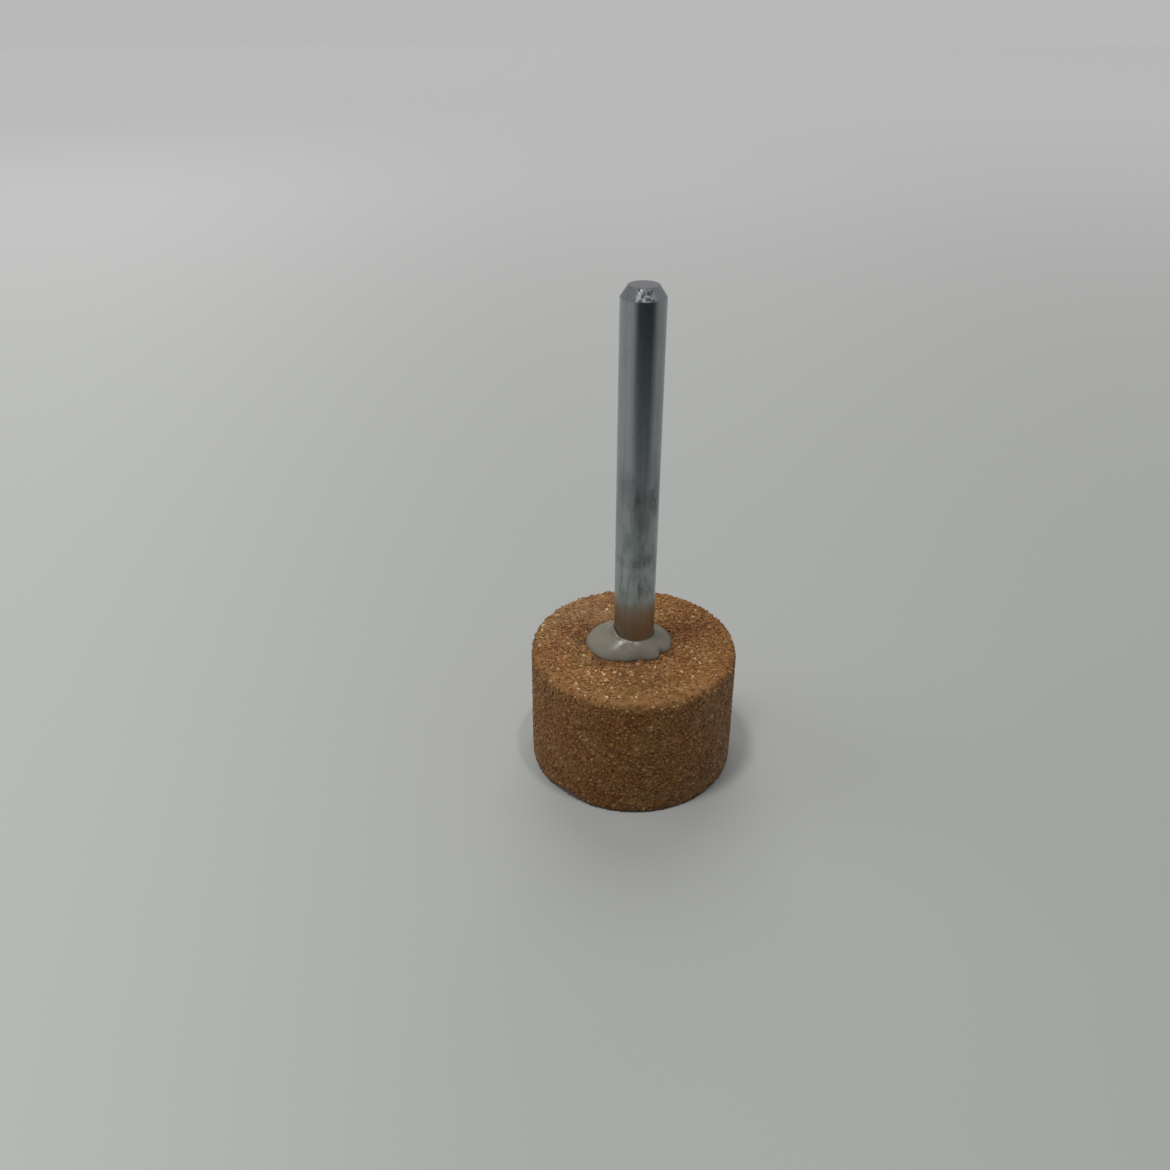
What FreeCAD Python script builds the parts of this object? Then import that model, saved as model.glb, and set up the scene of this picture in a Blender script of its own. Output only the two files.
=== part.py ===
"""Mounted grinding stone: a pressed abrasive wheel cemented onto a steel shank.

The wheel stands on its flat base with the shank pointing up, as it is kept on a bench.
Frame: +Z up along the shank, origin at the centre of the wheel's base face. Lengths are
in millimetres and angles in degrees. Azimuths are counted from +X towards +Y.

The construction has three pieces:
    grinding_stone   the pressed and fired wheel, with a blind moulded bore
    steel_shank      the plated rod, with a knurled spigot that the cement grips
    bonding_cement   the fill of the bore and the collar that squeezed out on top
"""
import FreeCAD, Part
import math
import os
import Sketcher

# Driving dimensions: alias, value, what it is
DIMENSIONS = [
    ("stone_base_diameter", 31.7, "wheel diameter at the base face"),
    ("stone_top_diameter", 31.0, "wheel diameter at the top face, less by the mould's draft"),
    ("stone_height", 20.1, "wheel height"),
    ("top_rim_radius", 0.9, "rounding worn onto the top rim"),
    ("base_rim_leg", 0.35, "bevel along the base rim"),
    ("shank_diameter", 6.0, "shank diameter, the size that a collet grips"),
    ("shank_exposed", 53.7, "shank length above the wheel's top face"),
    ("shank_embedded", 12.5, "shank length inside the wheel"),
    ("tip_height", 1.5, "height of the lead-in cone on the shank's tip"),
    ("tip_face_diameter", 4.0, "flat face left on the shank's tip"),
    ("spigot_diameter", 5.68, "turned-down end of the shank that the cement holds"),
    ("spigot_rise", 3.5, "height of the spigot's shoulder above the wheel's top face"),
    ("heel_leg", 0.5, "bevel on the embedded end"),
    ("knurl_teeth", 24, "number of grooves in the straight knurl"),
    ("knurl_depth", 0.25, "depth of each groove"),
    ("knurl_length", 11.0, "length of the knurl from the embedded end"),
    ("cement_gap", 0.4, "cement thickness between the shank and the bore"),
    ("cement_floor", 0.5, "cement thickness under the embedded end"),
    ("collar_left", 7.25, "reach of the cement collar from the axis towards -X"),
    ("collar_right", 5.9, "reach of the cement collar from the axis towards +X"),
    ("collar_front", 5.2, "reach of the cement collar from the axis towards -Y"),
    ("collar_back", 5.4, "reach of the cement collar from the axis towards +Y"),
    ("collar_lip", 0.6, "height of the blunt edge around the collar"),
    ("collar_height", 3.8, "height of the collar's crown, just inside the shank"),
    ("nick_azimuth", -42.0, "direction of the nick in the collar's edge"),
    ("nick_reach", 5.6, "distance of the nick's centre from the axis"),
    ("nick_radius", 0.75, "radius of the nick"),
    ("chip_azimuth", 229.0, "direction of the chip in the base rim"),
    ("chip_length", 8.4, "length of the chip along the base rim"),
    ("chip_depth", 1.1, "depth of the chip into the rim"),
    ("chip_height", 0.9, "height of the chip above the base face"),
]

# The collar's cross-sections from the foot up: name, height, and the share of the foot's
# length and width that the section has. The flank is halfway up a straight slope.
EDGE_SHARE = 0.93
CROWN_SHARE = 0.28
COLLAR_SECTIONS = [
    ("collar_foot", "0", 1.0),
    ("collar_edge", "Dims.collar_lip", EDGE_SHARE),
    ("collar_flank", "(Dims.collar_lip + Dims.collar_height) / 2", (EDGE_SHARE + CROWN_SHARE) / 2),
    ("collar_crown", "Dims.collar_height", CROWN_SHARE),
]


def make_sheet(doc):
    """The spreadsheet that holds every driving dimension under its alias."""
    sheet = doc.addObject("Spreadsheet::Sheet", "Dims")
    for row, (alias, value, meaning) in enumerate(DIMENSIONS, start=1):
        sheet.set(f"A{row}", meaning)
        sheet.set(f"B{row}", str(value))
        sheet.setAlias(f"B{row}", alias)
    doc.recompute()
    return sheet


def bind(feature, **formulas):
    """Ties properties to formulas over the sheet; a double underscore stands for a dot."""
    for name, formula in formulas.items():
        feature.setExpression(name.replace("__", "."), formula)


def new_body(doc, name):
    """An empty body whose label is also its name."""
    body = doc.addObject("PartDesign::Body", name)
    body.Label = name
    return body


def origin_feature(body, role):
    """A body's own origin plane or axis, by its role."""
    return next(f for f in body.Origin.OriginFeatures if f.Role == role)


def new_sketch(body, name, role, **offset):
    """A sketch on one of the body's origin planes, shifted by formulas for y or z."""
    sketch = body.newObject("Sketcher::SketchObject", name)
    sketch.AttachmentSupport = [(origin_feature(body, role), "")]
    sketch.MapMode = "FlatFace"
    for letter, formula in offset.items():
        sketch.setExpression(f"AttachmentOffset.Base.{letter}", formula)
    return sketch


def constrain(sketch, name, constraint, formula):
    """Adds a named dimension to a sketch and ties it to a formula."""
    number = sketch.addConstraint(constraint)
    sketch.renameConstraint(number, name)
    sketch.setExpression(f"Constraints.{name}", formula)


def draw_ring(sketch, places):
    """A closed ring of straight lines, joined end to end."""
    count = len(places)
    for k in range(count):
        line = Part.LineSegment(places[k], places[(k + 1) % count])
        sketch.addGeometry(line, False)
    for k in range(count):
        sketch.addConstraint(Sketcher.Constraint("Coincident", k, 2, (k + 1) % count, 1))


def draw_outline(sketch, corners):
    """A closed outline of straight lines through corners given as (x, y) formulas.

    The corners are roughed out along an arc and their dimensions move them into place.
    A formula of "0" puts the corner on the sketch's own axis instead of dimensioning it.
    """
    count = len(corners)
    turns = [math.pi * k / count for k in range(count)]
    draw_ring(sketch, [FreeCAD.Vector(math.sin(t), 1 - math.cos(t), 0) for t in turns])
    for k, corner in enumerate(corners):
        for side, axis, kind in ((0, -2, "DistanceX"), (1, -1, "DistanceY")):
            if corner[side] == "0":
                sketch.addConstraint(Sketcher.Constraint("PointOnObject", k, 1, axis))
            else:
                dimension = Sketcher.Constraint(kind, -1, 1, k, 1, 1)
                constrain(sketch, f"corner_{k}_{'xy'[side]}", dimension, corner[side])


def draw_circle(sketch, radius):
    """A circle about the sketch's origin, its radius given as a formula."""
    circle = Part.Circle(FreeCAD.Vector(0, 0, 0), FreeCAD.Vector(0, 0, 1), 1)
    sketch.addGeometry(circle, False)
    sketch.addConstraint(Sketcher.Constraint("Coincident", 0, 3, -1, 1))
    constrain(sketch, "radius", Sketcher.Constraint("Radius", 0, 1), radius)


def revolve(body, name, sketch):
    """A full turn of a sketch about its own vertical axis, which is the shank's axis."""
    turned = body.newObject("PartDesign::Revolution", name)
    turned.Profile = sketch
    turned.ReferenceAxis = (sketch, ["V_Axis"])
    turned.Angle = 360
    return turned


def rim_edges(feature, height, radius):
    """Names of the feature's full circles about the axis at that height and radius."""
    near = 1e-4
    names = []
    for number, edge in enumerate(feature.Shape.Edges, start=1):
        curve = edge.Curve
        if not isinstance(curve, Part.Circle):
            continue
        if abs(curve.Center.z - height) < near and abs(curve.Radius - radius) < near:
            names.append(f"Edge{number}")
    return names


def make_stone(doc, sheet):
    """The pressed wheel: a slightly tapered disc with a blind bore and worn rims."""
    body = new_body(doc, "grinding_stone")
    base_radius = "Dims.stone_base_diameter / 2"
    top_radius = "Dims.stone_top_diameter / 2"
    height = "Dims.stone_height"
    profile = new_sketch(body, "stone_profile", "XZ_Plane")
    corners = [("0", "0"), (base_radius, "0"), (top_radius, height), ("0", height)]
    draw_outline(profile, corners)
    blank = revolve(body, "stone_blank", profile)
    doc.recompute()

    rounded = body.newObject("PartDesign::Fillet", "worn_top_rim")
    top_rim = rim_edges(blank, sheet.stone_height, sheet.stone_top_diameter / 2)
    rounded.Base = (blank, top_rim)
    bind(rounded, Radius="Dims.top_rim_radius")
    doc.recompute()

    bevelled = body.newObject("PartDesign::Chamfer", "base_rim_bevel")
    base_rim = rim_edges(rounded, 0, sheet.stone_base_diameter / 2)
    bevelled.Base = (rounded, base_rim)
    bind(bevelled, Size="Dims.base_rim_leg")
    doc.recompute()

    mouth = new_sketch(body, "bore_mouth", "XY_Plane", z=height)
    draw_circle(mouth, "Dims.shank_diameter / 2 + Dims.cement_gap")
    bore = body.newObject("PartDesign::Pocket", "moulded_bore")
    bore.Profile = mouth
    bind(bore, Length="Dims.shank_embedded + Dims.cement_floor")
    doc.recompute()

    chip_base_rim(body)
    return body


def chip_base_rim(body):
    """A shell-shaped break in the base rim: an ellipsoid centred on the rim, whose long
    axis lies along the rim and whose short ones point inwards and up."""
    break_out = body.newObject("PartDesign::SubtractiveEllipsoid", "base_rim_chip")
    break_out.AttachmentSupport = [(origin_feature(body, "XY_Plane"), "")]
    break_out.MapMode = "FlatFace"
    break_out.Angle1 = -90
    break_out.Angle2 = 90
    break_out.Angle3 = 360
    upright = FreeCAD.Vector(0, 0, 1)
    break_out.AttachmentOffset = FreeCAD.Placement(FreeCAD.Vector(), upright, 1)
    bind(
        break_out,
        Radius1="Dims.chip_height",
        Radius2="Dims.chip_depth",
        Radius3="Dims.chip_length / 2",
        AttachmentOffset__Base__x="Dims.stone_base_diameter / 2 * cos(Dims.chip_azimuth)",
        AttachmentOffset__Base__y="Dims.stone_base_diameter / 2 * sin(Dims.chip_azimuth)",
        AttachmentOffset__Rotation__Angle="Dims.chip_azimuth",
    )


def make_shank(doc):
    """The plated rod: coned tip, plain gripping length and knurled spigot.

    The full diameter ends at the spigot's shoulder, which just clears the collar, so a
    collet can slide down over all of it.
    """
    body = new_body(doc, "steel_shank")
    radius = "Dims.shank_diameter / 2"
    spigot_radius = "Dims.spigot_diameter / 2"
    heel = "Dims.stone_height - Dims.shank_embedded"
    shoulder = "Dims.shank_embedded + Dims.spigot_rise"
    length = "Dims.shank_embedded + Dims.shank_exposed"
    profile = new_sketch(body, "shank_profile", "XZ_Plane", y=heel)
    corners = [
        ("0", "0"),
        (f"{spigot_radius} - Dims.heel_leg", "0"),
        (spigot_radius, "Dims.heel_leg"),
        (spigot_radius, shoulder),
        (radius, shoulder),
        (radius, f"{length} - Dims.tip_height"),
        ("Dims.tip_face_diameter / 2", length),
        ("0", length),
    ]
    draw_outline(profile, corners)
    revolve(body, "shank_rod", profile)
    doc.recompute()

    section = new_sketch(body, "knurl_section", "XY_Plane", z=heel)
    draw_groove(section)
    groove = body.newObject("PartDesign::Pocket", "knurl_groove")
    groove.Profile = section
    groove.Reversed = True
    bind(groove, Length="Dims.knurl_length")
    doc.recompute()

    knurl = body.newObject("PartDesign::PolarPattern", "straight_knurl")
    knurl.Originals = [groove]
    knurl.Axis = (origin_feature(body, "Z_Axis"), [""])
    knurl.Angle = 360
    bind(knurl, Occurrences="Dims.knurl_teeth")
    body.Tip = knurl
    return body


def draw_groove(sketch):
    """One groove of the knurl on the +X side: a V with square flanks, whose root is at
    the groove's depth and whose mouth lies outside the spigot by that depth again."""
    root = FreeCAD.Vector(2, 0, 0)
    right = FreeCAD.Vector(3, -1, 0)
    left = FreeCAD.Vector(3, 1, 0)
    draw_ring(sketch, [root, right, left])
    sketch.addConstraint(Sketcher.Constraint("PointOnObject", 0, 1, -1))
    sketch.addConstraint(Sketcher.Constraint("Symmetric", 1, 1, 2, 1, -1))
    root_radius = Sketcher.Constraint("DistanceX", -1, 1, 0, 1, 2)
    constrain(sketch, "root_radius", root_radius, "Dims.spigot_diameter / 2 - Dims.knurl_depth")
    reach = Sketcher.Constraint("DistanceX", 0, 1, 2, 1, 1)
    constrain(sketch, "reach", reach, "2 * Dims.knurl_depth")
    width = Sketcher.Constraint("DistanceY", 1, 1, 2, 1, 2)
    constrain(sketch, "width", width, "4 * Dims.knurl_depth")


def make_cement(doc, shank):
    """The cement: the fill of the bore and the collar on top, less the shank in it."""
    plug = doc.addObject("Part::Cylinder", "bore_plug")
    bind(
        plug,
        Radius="Dims.shank_diameter / 2 + Dims.cement_gap",
        Height="Dims.shank_embedded + Dims.cement_floor",
        Placement__Base__z="Dims.stone_height - Dims.shank_embedded - Dims.cement_floor",
    )
    cast = doc.addObject("Part::Fuse", "cast_cement")
    cast.Base = plug
    cast.Tool = make_collar(doc)

    nick = doc.addObject("Part::Sphere", "collar_nick")
    bind(
        nick,
        Radius="Dims.nick_radius",
        Placement__Base__x="Dims.nick_reach * cos(Dims.nick_azimuth)",
        Placement__Base__y="Dims.nick_reach * sin(Dims.nick_azimuth)",
        Placement__Base__z="Dims.stone_height",
    )
    nicked = doc.addObject("Part::Cut", "nicked_cement")
    nicked.Base = cast
    nicked.Tool = nick

    cement = doc.addObject("Part::Cut", "bonding_cement")
    cement.Label = "bonding_cement"
    cement.Base = nicked
    cement.Tool = shank
    return cement


def make_collar(doc):
    """The collar: a mound off the shank's centre, lofted through oval sections that have
    one shape and shrink towards the crown, with a blunt edge at the foot.

    An oval is drawn with its longer axis first, so it is turned by a quarter where the
    collar is wider from front to back than from side to side.
    """
    half_length = "(Dims.collar_left + Dims.collar_right) / 2"
    half_width = "(Dims.collar_front + Dims.collar_back) / 2"
    sections = []
    for name, rise, share in COLLAR_SECTIONS:
        oval = doc.addObject("Part::Ellipse", name)
        oval.Placement = FreeCAD.Placement(FreeCAD.Vector(), FreeCAD.Vector(0, 0, 1), 1)
        bind(
            oval,
            MajorRadius=f"{share} * max({half_length}; {half_width})",
            MinorRadius=f"{share} * min({half_length}; {half_width})",
            Placement__Base__x="(Dims.collar_right - Dims.collar_left) / 2",
            Placement__Base__y="(Dims.collar_back - Dims.collar_front) / 2",
            Placement__Base__z=f"Dims.stone_height + {rise}",
            Placement__Rotation__Angle=f"{half_length} >= {half_width} ? 0 : 90",
        )
        sections.append(oval)
    collar = doc.addObject("Part::Loft", "collar_mound")
    collar.Sections = sections
    collar.Solid = True
    return collar


def check(doc, pieces):
    """Stops the build if any feature failed or any piece isn't one sound solid."""
    failed = [o.Name for o in doc.Objects if {"Invalid", "Error"} & set(o.State)]
    if failed:
        raise RuntimeError(f"failed features: {', '.join(failed)}")
    for piece in pieces:
        shape = piece.Shape
        if shape.isNull() or not shape.isValid() or len(shape.Solids) != 1:
            raise RuntimeError(f"{piece.Label} isn't one valid solid")
        print(f"{piece.Label}: {shape.Volume:.2f} mm3, {len(shape.Faces)} faces")


def main():
    """Builds the document and writes each piece to parts/."""
    doc = FreeCAD.newDocument("mounted_grinding_stone")
    sheet = make_sheet(doc)
    stone = make_stone(doc, sheet)
    shank = make_shank(doc)
    cement = make_cement(doc, shank)
    doc.recompute()
    pieces = [stone, shank, cement]
    check(doc, pieces)
    os.makedirs("parts", exist_ok=True)
    for piece in pieces:
        piece.Shape.exportStep(f"parts/{piece.Label}.step")


main()
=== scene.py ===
"""Looks of the mounted grinding stone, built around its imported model.

The stone stands on its flat base with the steel shank pointing up. Shapes are worked out
in millimetres in the model's frame, +Z up along the shank and -Y towards the camera, and
are put into their meshes in metres. Azimuths are counted from +X towards +Y.
"""
import itertools
import logging
import math
from collections.abc import Iterable
from dataclasses import dataclass, field
from enum import Enum, IntEnum

import bpy
import numpy as np
from mathutils import Matrix, Vector


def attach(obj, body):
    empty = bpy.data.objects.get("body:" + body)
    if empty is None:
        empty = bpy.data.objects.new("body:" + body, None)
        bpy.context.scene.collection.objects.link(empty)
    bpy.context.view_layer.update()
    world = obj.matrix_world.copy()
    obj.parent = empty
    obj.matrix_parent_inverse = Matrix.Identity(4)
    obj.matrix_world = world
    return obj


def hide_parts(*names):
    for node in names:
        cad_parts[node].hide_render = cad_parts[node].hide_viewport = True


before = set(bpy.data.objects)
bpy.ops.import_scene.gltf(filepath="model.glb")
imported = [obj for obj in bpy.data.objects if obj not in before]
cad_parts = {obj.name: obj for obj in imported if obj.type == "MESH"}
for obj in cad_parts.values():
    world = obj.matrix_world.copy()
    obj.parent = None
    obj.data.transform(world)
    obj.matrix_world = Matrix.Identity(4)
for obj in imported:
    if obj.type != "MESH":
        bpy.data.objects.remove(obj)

LOG = logging.getLogger("grinding_stone")
MM = 0.001
BODY = "root"

Colour = tuple[float, float, float, float]

# Numbers that scramble a place into a value without any pattern that shows
HASH_WEIGHTS = np.array([73856093, 19349663, 83492791], dtype=np.int64)
HASH_SEED_STEP = 15485863
HASH_ROUNDS = ((30, 0xBF58476D1CE4E5B9), (27, 0x94D049BB133111EB))
HASH_BITS = 24


def linear(red: int, green: int, blue: int) -> Colour:
    """A screen colour from 0 to 255 as the linear colour that a shader socket takes.

    Each channel is put through the inverse of the sRGB curve.

    Args:
        red: Red, from 0 to 255.
        green: Green, from 0 to 255.
        blue: Blue, from 0 to 255.

    Returns:
        Linear red, green and blue, and an alpha of 1.
    """
    shares = [channel / 255 for channel in (red, green, blue)]
    straight = [s / 12.92 if s <= 0.04045 else ((s + 0.055) / 1.055) ** 2.4 for s in shares]
    return (*straight, 1.0)


# Noise over space


class Seed(IntEnum):
    """Seeds of the patterns and of the random draws, which keep them unlike each other."""

    FACE_CRYSTALS = 5
    WALL_CRYSTALS = 6
    GRAINS = 11
    SWELLS = 17
    WEAR = 21
    FINE_WEAR = 22
    DARK_SPECKS = 31
    BASE_EDGE = 33
    STONE_DUST = 41
    CEMENT_DUST_AND_SHADE = 51


def hashed(cells: np.ndarray, seed: int) -> np.ndarray:
    """A value from 0 to 1 for each whole-number position, the same on every run.

    The three coordinates are weighted and added up with the seed, and the bits of the
    sum are scrambled by shifts and multiplications.

    Args:
        cells: Whole-number positions, three to a row.
        seed: Picks one of many unlike patterns.

    Returns:
        One value for each position.
    """
    mixed = (cells.astype(np.int64) * HASH_WEIGHTS).sum(-1) + seed * HASH_SEED_STEP
    mixed = mixed.astype(np.uint64)
    for shift, factor in HASH_ROUNDS:
        mixed = (mixed ^ (mixed >> np.uint64(shift))) * np.uint64(factor)
    return (mixed >> np.uint64(64 - HASH_BITS)).astype(float) / 2**HASH_BITS


def smooth_noise(points: np.ndarray, cell: float, seed: int) -> np.ndarray:
    """Soft hills and hollows about one cell wide.

    The hashed values at the eight corners of each cell are blended by the cubic ease
    3t^2 - 2t^3 along each axis.

    Args:
        points: Places in millimetres, three to a row.
        cell: Width of a cell in millimetres.
        seed: Picks one of many unlike patterns.

    Returns:
        One value from 0 to 1 for each point.
    """
    scaled = points / cell
    base = np.floor(scaled)
    part = scaled - base
    ease = part * part * (3 - 2 * part)
    total = np.zeros(len(points))
    for corner in itertools.product((0, 1), repeat=3):
        weight = np.where(np.array(corner) == 1, ease, 1 - ease).prod(-1)
        total += weight * hashed(base + corner, seed)
    return total


def packed_grains(points: np.ndarray, cell: float, seed: int) -> tuple[np.ndarray, np.ndarray]:
    """Cells round scattered hearts, as grains lie packed in a pressed stone.

    Each lattice cell holds one heart at a hashed place. A point belongs to the nearest
    heart among its own cell and the 26 round it.

    Args:
        points: Places in millimetres, three to a row.
        cell: Mean distance between hearts in millimetres.
        seed: Picks one of many unlike patterns.

    Returns:
        The distance to the nearest heart in cells, and a value from 0 to 1 for its grain.
    """
    scaled = points / cell
    base = np.floor(scaled)
    nearest = np.full(len(points), np.inf)
    grain = np.zeros(len(points))
    for step in itertools.product((-1, 0, 1), repeat=3):
        lattice = base + step
        heart = lattice + np.stack([hashed(lattice, seed + axis) for axis in range(3)], -1)
        gap = np.linalg.norm(heart - scaled, axis=-1)
        closer = gap < nearest
        nearest = np.where(closer, gap, nearest)
        grain = np.where(closer, hashed(lattice, seed + 3), grain)
    return nearest, grain


# Meshes


@dataclass(frozen=True)
class Surface:
    """A closed surface ready to become a mesh.

    Attributes:
        points: Places in millimetres, three to a row.
        faces: Arrays of corner numbers, each array with its own number of corners a row.
        marks: Named values, one for each point, that the finish reads.
    """

    points: np.ndarray
    faces: list[np.ndarray]
    marks: dict[str, np.ndarray] = field(default_factory=dict)


def turned_faces(rows: int, columns: int) -> list[np.ndarray]:
    """Faces of a surface that goes all the way round and ends in a pole at each end.

    The points are the rows one after another, then the first pole and the last. Each
    face joins a point to the next row and the next column, and the outside is on the
    side that faces up where the rows run outwards.

    Args:
        rows: Number of rings.
        columns: Number of points on a ring.

    Returns:
        The quads between rings, and the triangles at the two poles.
    """
    grid = np.arange(rows * columns).reshape(rows, columns)
    beside = np.roll(grid, -1, axis=1)
    quads = np.stack([grid[:-1], grid[1:], beside[1:], beside[:-1]], -1).reshape(-1, 4)
    start = np.full(columns, rows * columns)
    first = np.stack([start, grid[0], beside[0]], -1)
    last = np.stack([grid[-1], start + 1, beside[-1]], -1)
    return [quads, first, last]


def turned_surface(
    radii: np.ndarray,
    heights: np.ndarray,
    azimuths: np.ndarray,
    poles: tuple[float, float],
    marks: dict[str, np.ndarray],
) -> Surface:
    """A surface from a radius and a height for every row and azimuth.

    A point is (radius times cosine, radius times sine, height), and the two poles are on
    the axis.

    Args:
        radii: Distance from the axis, a row for each ring.
        heights: Height, in the same layout.
        azimuths: Direction of each column in radians.
        poles: Heights of the first pole and the last.
        marks: Named values in the same layout; a pole takes its neighbours' mean.

    Returns:
        The closed surface.
    """
    rows, columns = radii.shape
    ring = np.stack([radii * np.cos(azimuths), radii * np.sin(azimuths), heights], -1)
    ends = np.array([[0, 0, poles[0]], [0, 0, poles[1]]])
    points = np.concatenate([ring.reshape(-1, 3), ends])
    carried = {
        name: np.concatenate([value.ravel(), [value[0].mean(), value[-1].mean()]])
        for name, value in marks.items()
    }
    return Surface(points, turned_faces(rows, columns), carried)


def place_piece(
    name: str, surface: Surface, material: bpy.types.Material, smooth: bool
) -> bpy.types.Object:
    """Puts a surface into the scene as a piece that moves with the tool.

    Args:
        name: Name of the piece.
        surface: Its closed surface.
        material: Its finish.
        smooth: Whether the shading runs over the edges between faces.

    Returns:
        The new object, at the origin and unturned.
    """
    mesh = bpy.data.meshes.new(name)
    faces = [row for group in surface.faces for row in group.tolist()]
    mesh.from_pydata((surface.points * MM).tolist(), [], faces)
    for mark, value in surface.marks.items():
        layer = mesh.attributes.new(mark, "FLOAT", "POINT")
        layer.data.foreach_set("value", value.astype(np.float32))
    mesh.polygons.foreach_set("use_smooth", np.full(len(faces), smooth))
    mesh.materials.append(material)
    mesh.update()
    piece = bpy.data.objects.new(name, mesh)
    bpy.context.scene.collection.objects.link(piece)
    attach(piece, BODY)
    LOG.info("%s: %d points, %d faces", name, len(surface.points), len(faces))
    return piece


def degrees_from(angles: np.ndarray, centre_deg: float) -> np.ndarray:
    """Degrees from one direction to each angle in radians, the short way round."""
    return (np.degrees(angles) - centre_deg + 180) % 360 - 180


def bump_at(angles: np.ndarray, centre_deg: float, width_deg: float) -> np.ndarray:
    """A smooth bump round one direction: exp(-(offset / width)^2).

    Args:
        angles: Directions in radians.
        centre_deg: Direction of the bump's middle in degrees.
        width_deg: Offset in degrees at which the bump has fallen to about a third.

    Returns:
        Values from 0 to 1 in the layout of the angles.
    """
    return np.exp(-((degrees_from(angles, centre_deg) / width_deg) ** 2))


# Shader nodes

FLOAT = "NodeSocketFloat"
COLOR = "NodeSocketColor"
VECTOR = "NodeSocketVector"

# Numbers of the Mix node's sockets for the two colours and the blended one
MIX_FIRST, MIX_SECOND, MIX_BLENDED = 6, 7, 2

# Stops that a new colour ramp already has
READY_STOPS = 2


class Graph:
    """A node tree being built, with a short call for each kind of node used here."""

    def __init__(self, tree: bpy.types.NodeTree) -> None:
        """Takes the tree and empties it."""
        self.tree = tree
        tree.nodes.clear()

    def node(self, kind: str, **settings: object) -> bpy.types.Node:
        """Adds a node.

        Args:
            kind: Blender's name for the kind of node.
            settings: Values of the node's own properties by name.

        Returns:
            The node.
        """
        made = self.tree.nodes.new(kind)
        for name, value in settings.items():
            setattr(made, name, value)
        return made

    def feed(self, socket: bpy.types.NodeSocket, value: object) -> None:
        """Links an output into a socket, or sets the socket to a plain value.

        Args:
            socket: The input to fill.
            value: Another node's output, or a plain value.
        """
        if isinstance(value, bpy.types.NodeSocket):
            self.tree.links.new(value, socket)
        else:
            socket.default_value = value

    def math(self, operation: str, *values: object) -> bpy.types.NodeSocket:
        """Works out a sum, product, power or the like.

        Args:
            operation: Blender's name for what is worked out.
            values: Up to three numbers or outputs.

        Returns:
            The result.
        """
        made = self.node("ShaderNodeMath", operation=operation)
        for socket, value in zip(made.inputs, values):
            self.feed(socket, value)
        return made.outputs[0]

    def spread(
        self, value: object, low: float, high: float, to_low: float = 0.0, to_high: float = 1.0
    ) -> bpy.types.NodeSocket:
        """Eases a value from one range onto another and holds it at the ends.

        Args:
            value: The value or output to map.
            low: Start of the range it comes from.
            high: End of the range it comes from.
            to_low: What the start maps to.
            to_high: What the end maps to.

        Returns:
            The mapped output.
        """
        made = self.node("ShaderNodeMapRange", interpolation_type="SMOOTHSTEP")
        for socket, number in zip(made.inputs, (value, low, high, to_low, to_high)):
            self.feed(socket, number)
        return made.outputs[0]

    def mix(
        self, share: object, first: object, second: object, blend: str = "MIX"
    ) -> bpy.types.NodeSocket:
        """Blends two colours by a share.

        Args:
            share: How much of the second colour is taken.
            first: The colour at a share of 0.
            second: The colour at a share of 1.
            blend: Blender's name for the way they are blended.

        Returns:
            The blended colour.
        """
        made = self.node("ShaderNodeMix", data_type="RGBA", blend_type=blend)
        self.feed(made.inputs[0], share)
        self.feed(made.inputs[MIX_FIRST], first)
        self.feed(made.inputs[MIX_SECOND], second)
        return made.outputs[MIX_BLENDED]

    def ramp(self, value: object, stops: Iterable[tuple[float, Colour]]) -> bpy.types.NodeSocket:
        """Turns a value into a colour.

        Args:
            value: The value or output that picks the colour.
            stops: Place and colour of each stop, the first and the last one of the ramp
                before those between them.

        Returns:
            The colour.
        """
        made = self.node("ShaderNodeValToRGB")
        self.feed(made.inputs[0], value)
        elements = made.color_ramp.elements
        for number, (place, colour) in enumerate(stops):
            element = elements[number] if number < READY_STOPS else elements.new(place)
            element.position = place
            element.color = colour
        return made.outputs[0]

    def noise(
        self, vector: object, cell: float, detail: float = 2.0, rough: float = 0.5
    ) -> bpy.types.NodeSocket:
        """Cloudy noise.

        Args:
            vector: The place to read it at.
            cell: Width of its features in millimetres.
            detail: How many finer layers lie over the first.
            rough: How strong the finer layers are.

        Returns:
            Values round a half.
        """
        made = self.node("ShaderNodeTexNoise")
        self.feed(made.inputs["Vector"], vector)
        made.inputs["Scale"].default_value = 1 / (cell * MM)
        made.inputs["Detail"].default_value = detail
        made.inputs["Roughness"].default_value = rough
        return made.outputs[0]

    def cells(self, vector: object, cell: float) -> bpy.types.Node:
        """Packed grains.

        Args:
            vector: The place to read them at.
            cell: Mean width of a grain in millimetres.

        Returns:
            The node, with the distance to a grain's heart and a colour for each grain.
        """
        made = self.node("ShaderNodeTexVoronoi")
        self.feed(made.inputs["Vector"], vector)
        made.inputs["Scale"].default_value = 1 / (cell * MM)
        return made

    def bump(self, height: object, distance: float, strength: float = 1.0) -> bpy.types.NodeSocket:
        """A normal bent by a height.

        Args:
            height: The height, from 0 to 1.
            distance: Millimetres that a height of 1 stands for.
            strength: Share of the bend that is used.

        Returns:
            The normal.
        """
        made = self.node("ShaderNodeBump")
        self.feed(made.inputs["Height"], height)
        made.inputs["Distance"].default_value = distance * MM
        made.inputs["Strength"].default_value = strength
        return made.outputs[0]

    def attribute(self, name: str) -> bpy.types.NodeSocket:
        """The value of one of the piece's own marks."""
        return self.node("ShaderNodeAttribute", attribute_name=name).outputs["Fac"]

    def place(self) -> bpy.types.NodeSocket:
        """The place on the piece, in metres in the model's frame."""
        return self.node("ShaderNodeTexCoord").outputs["Object"]

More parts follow.
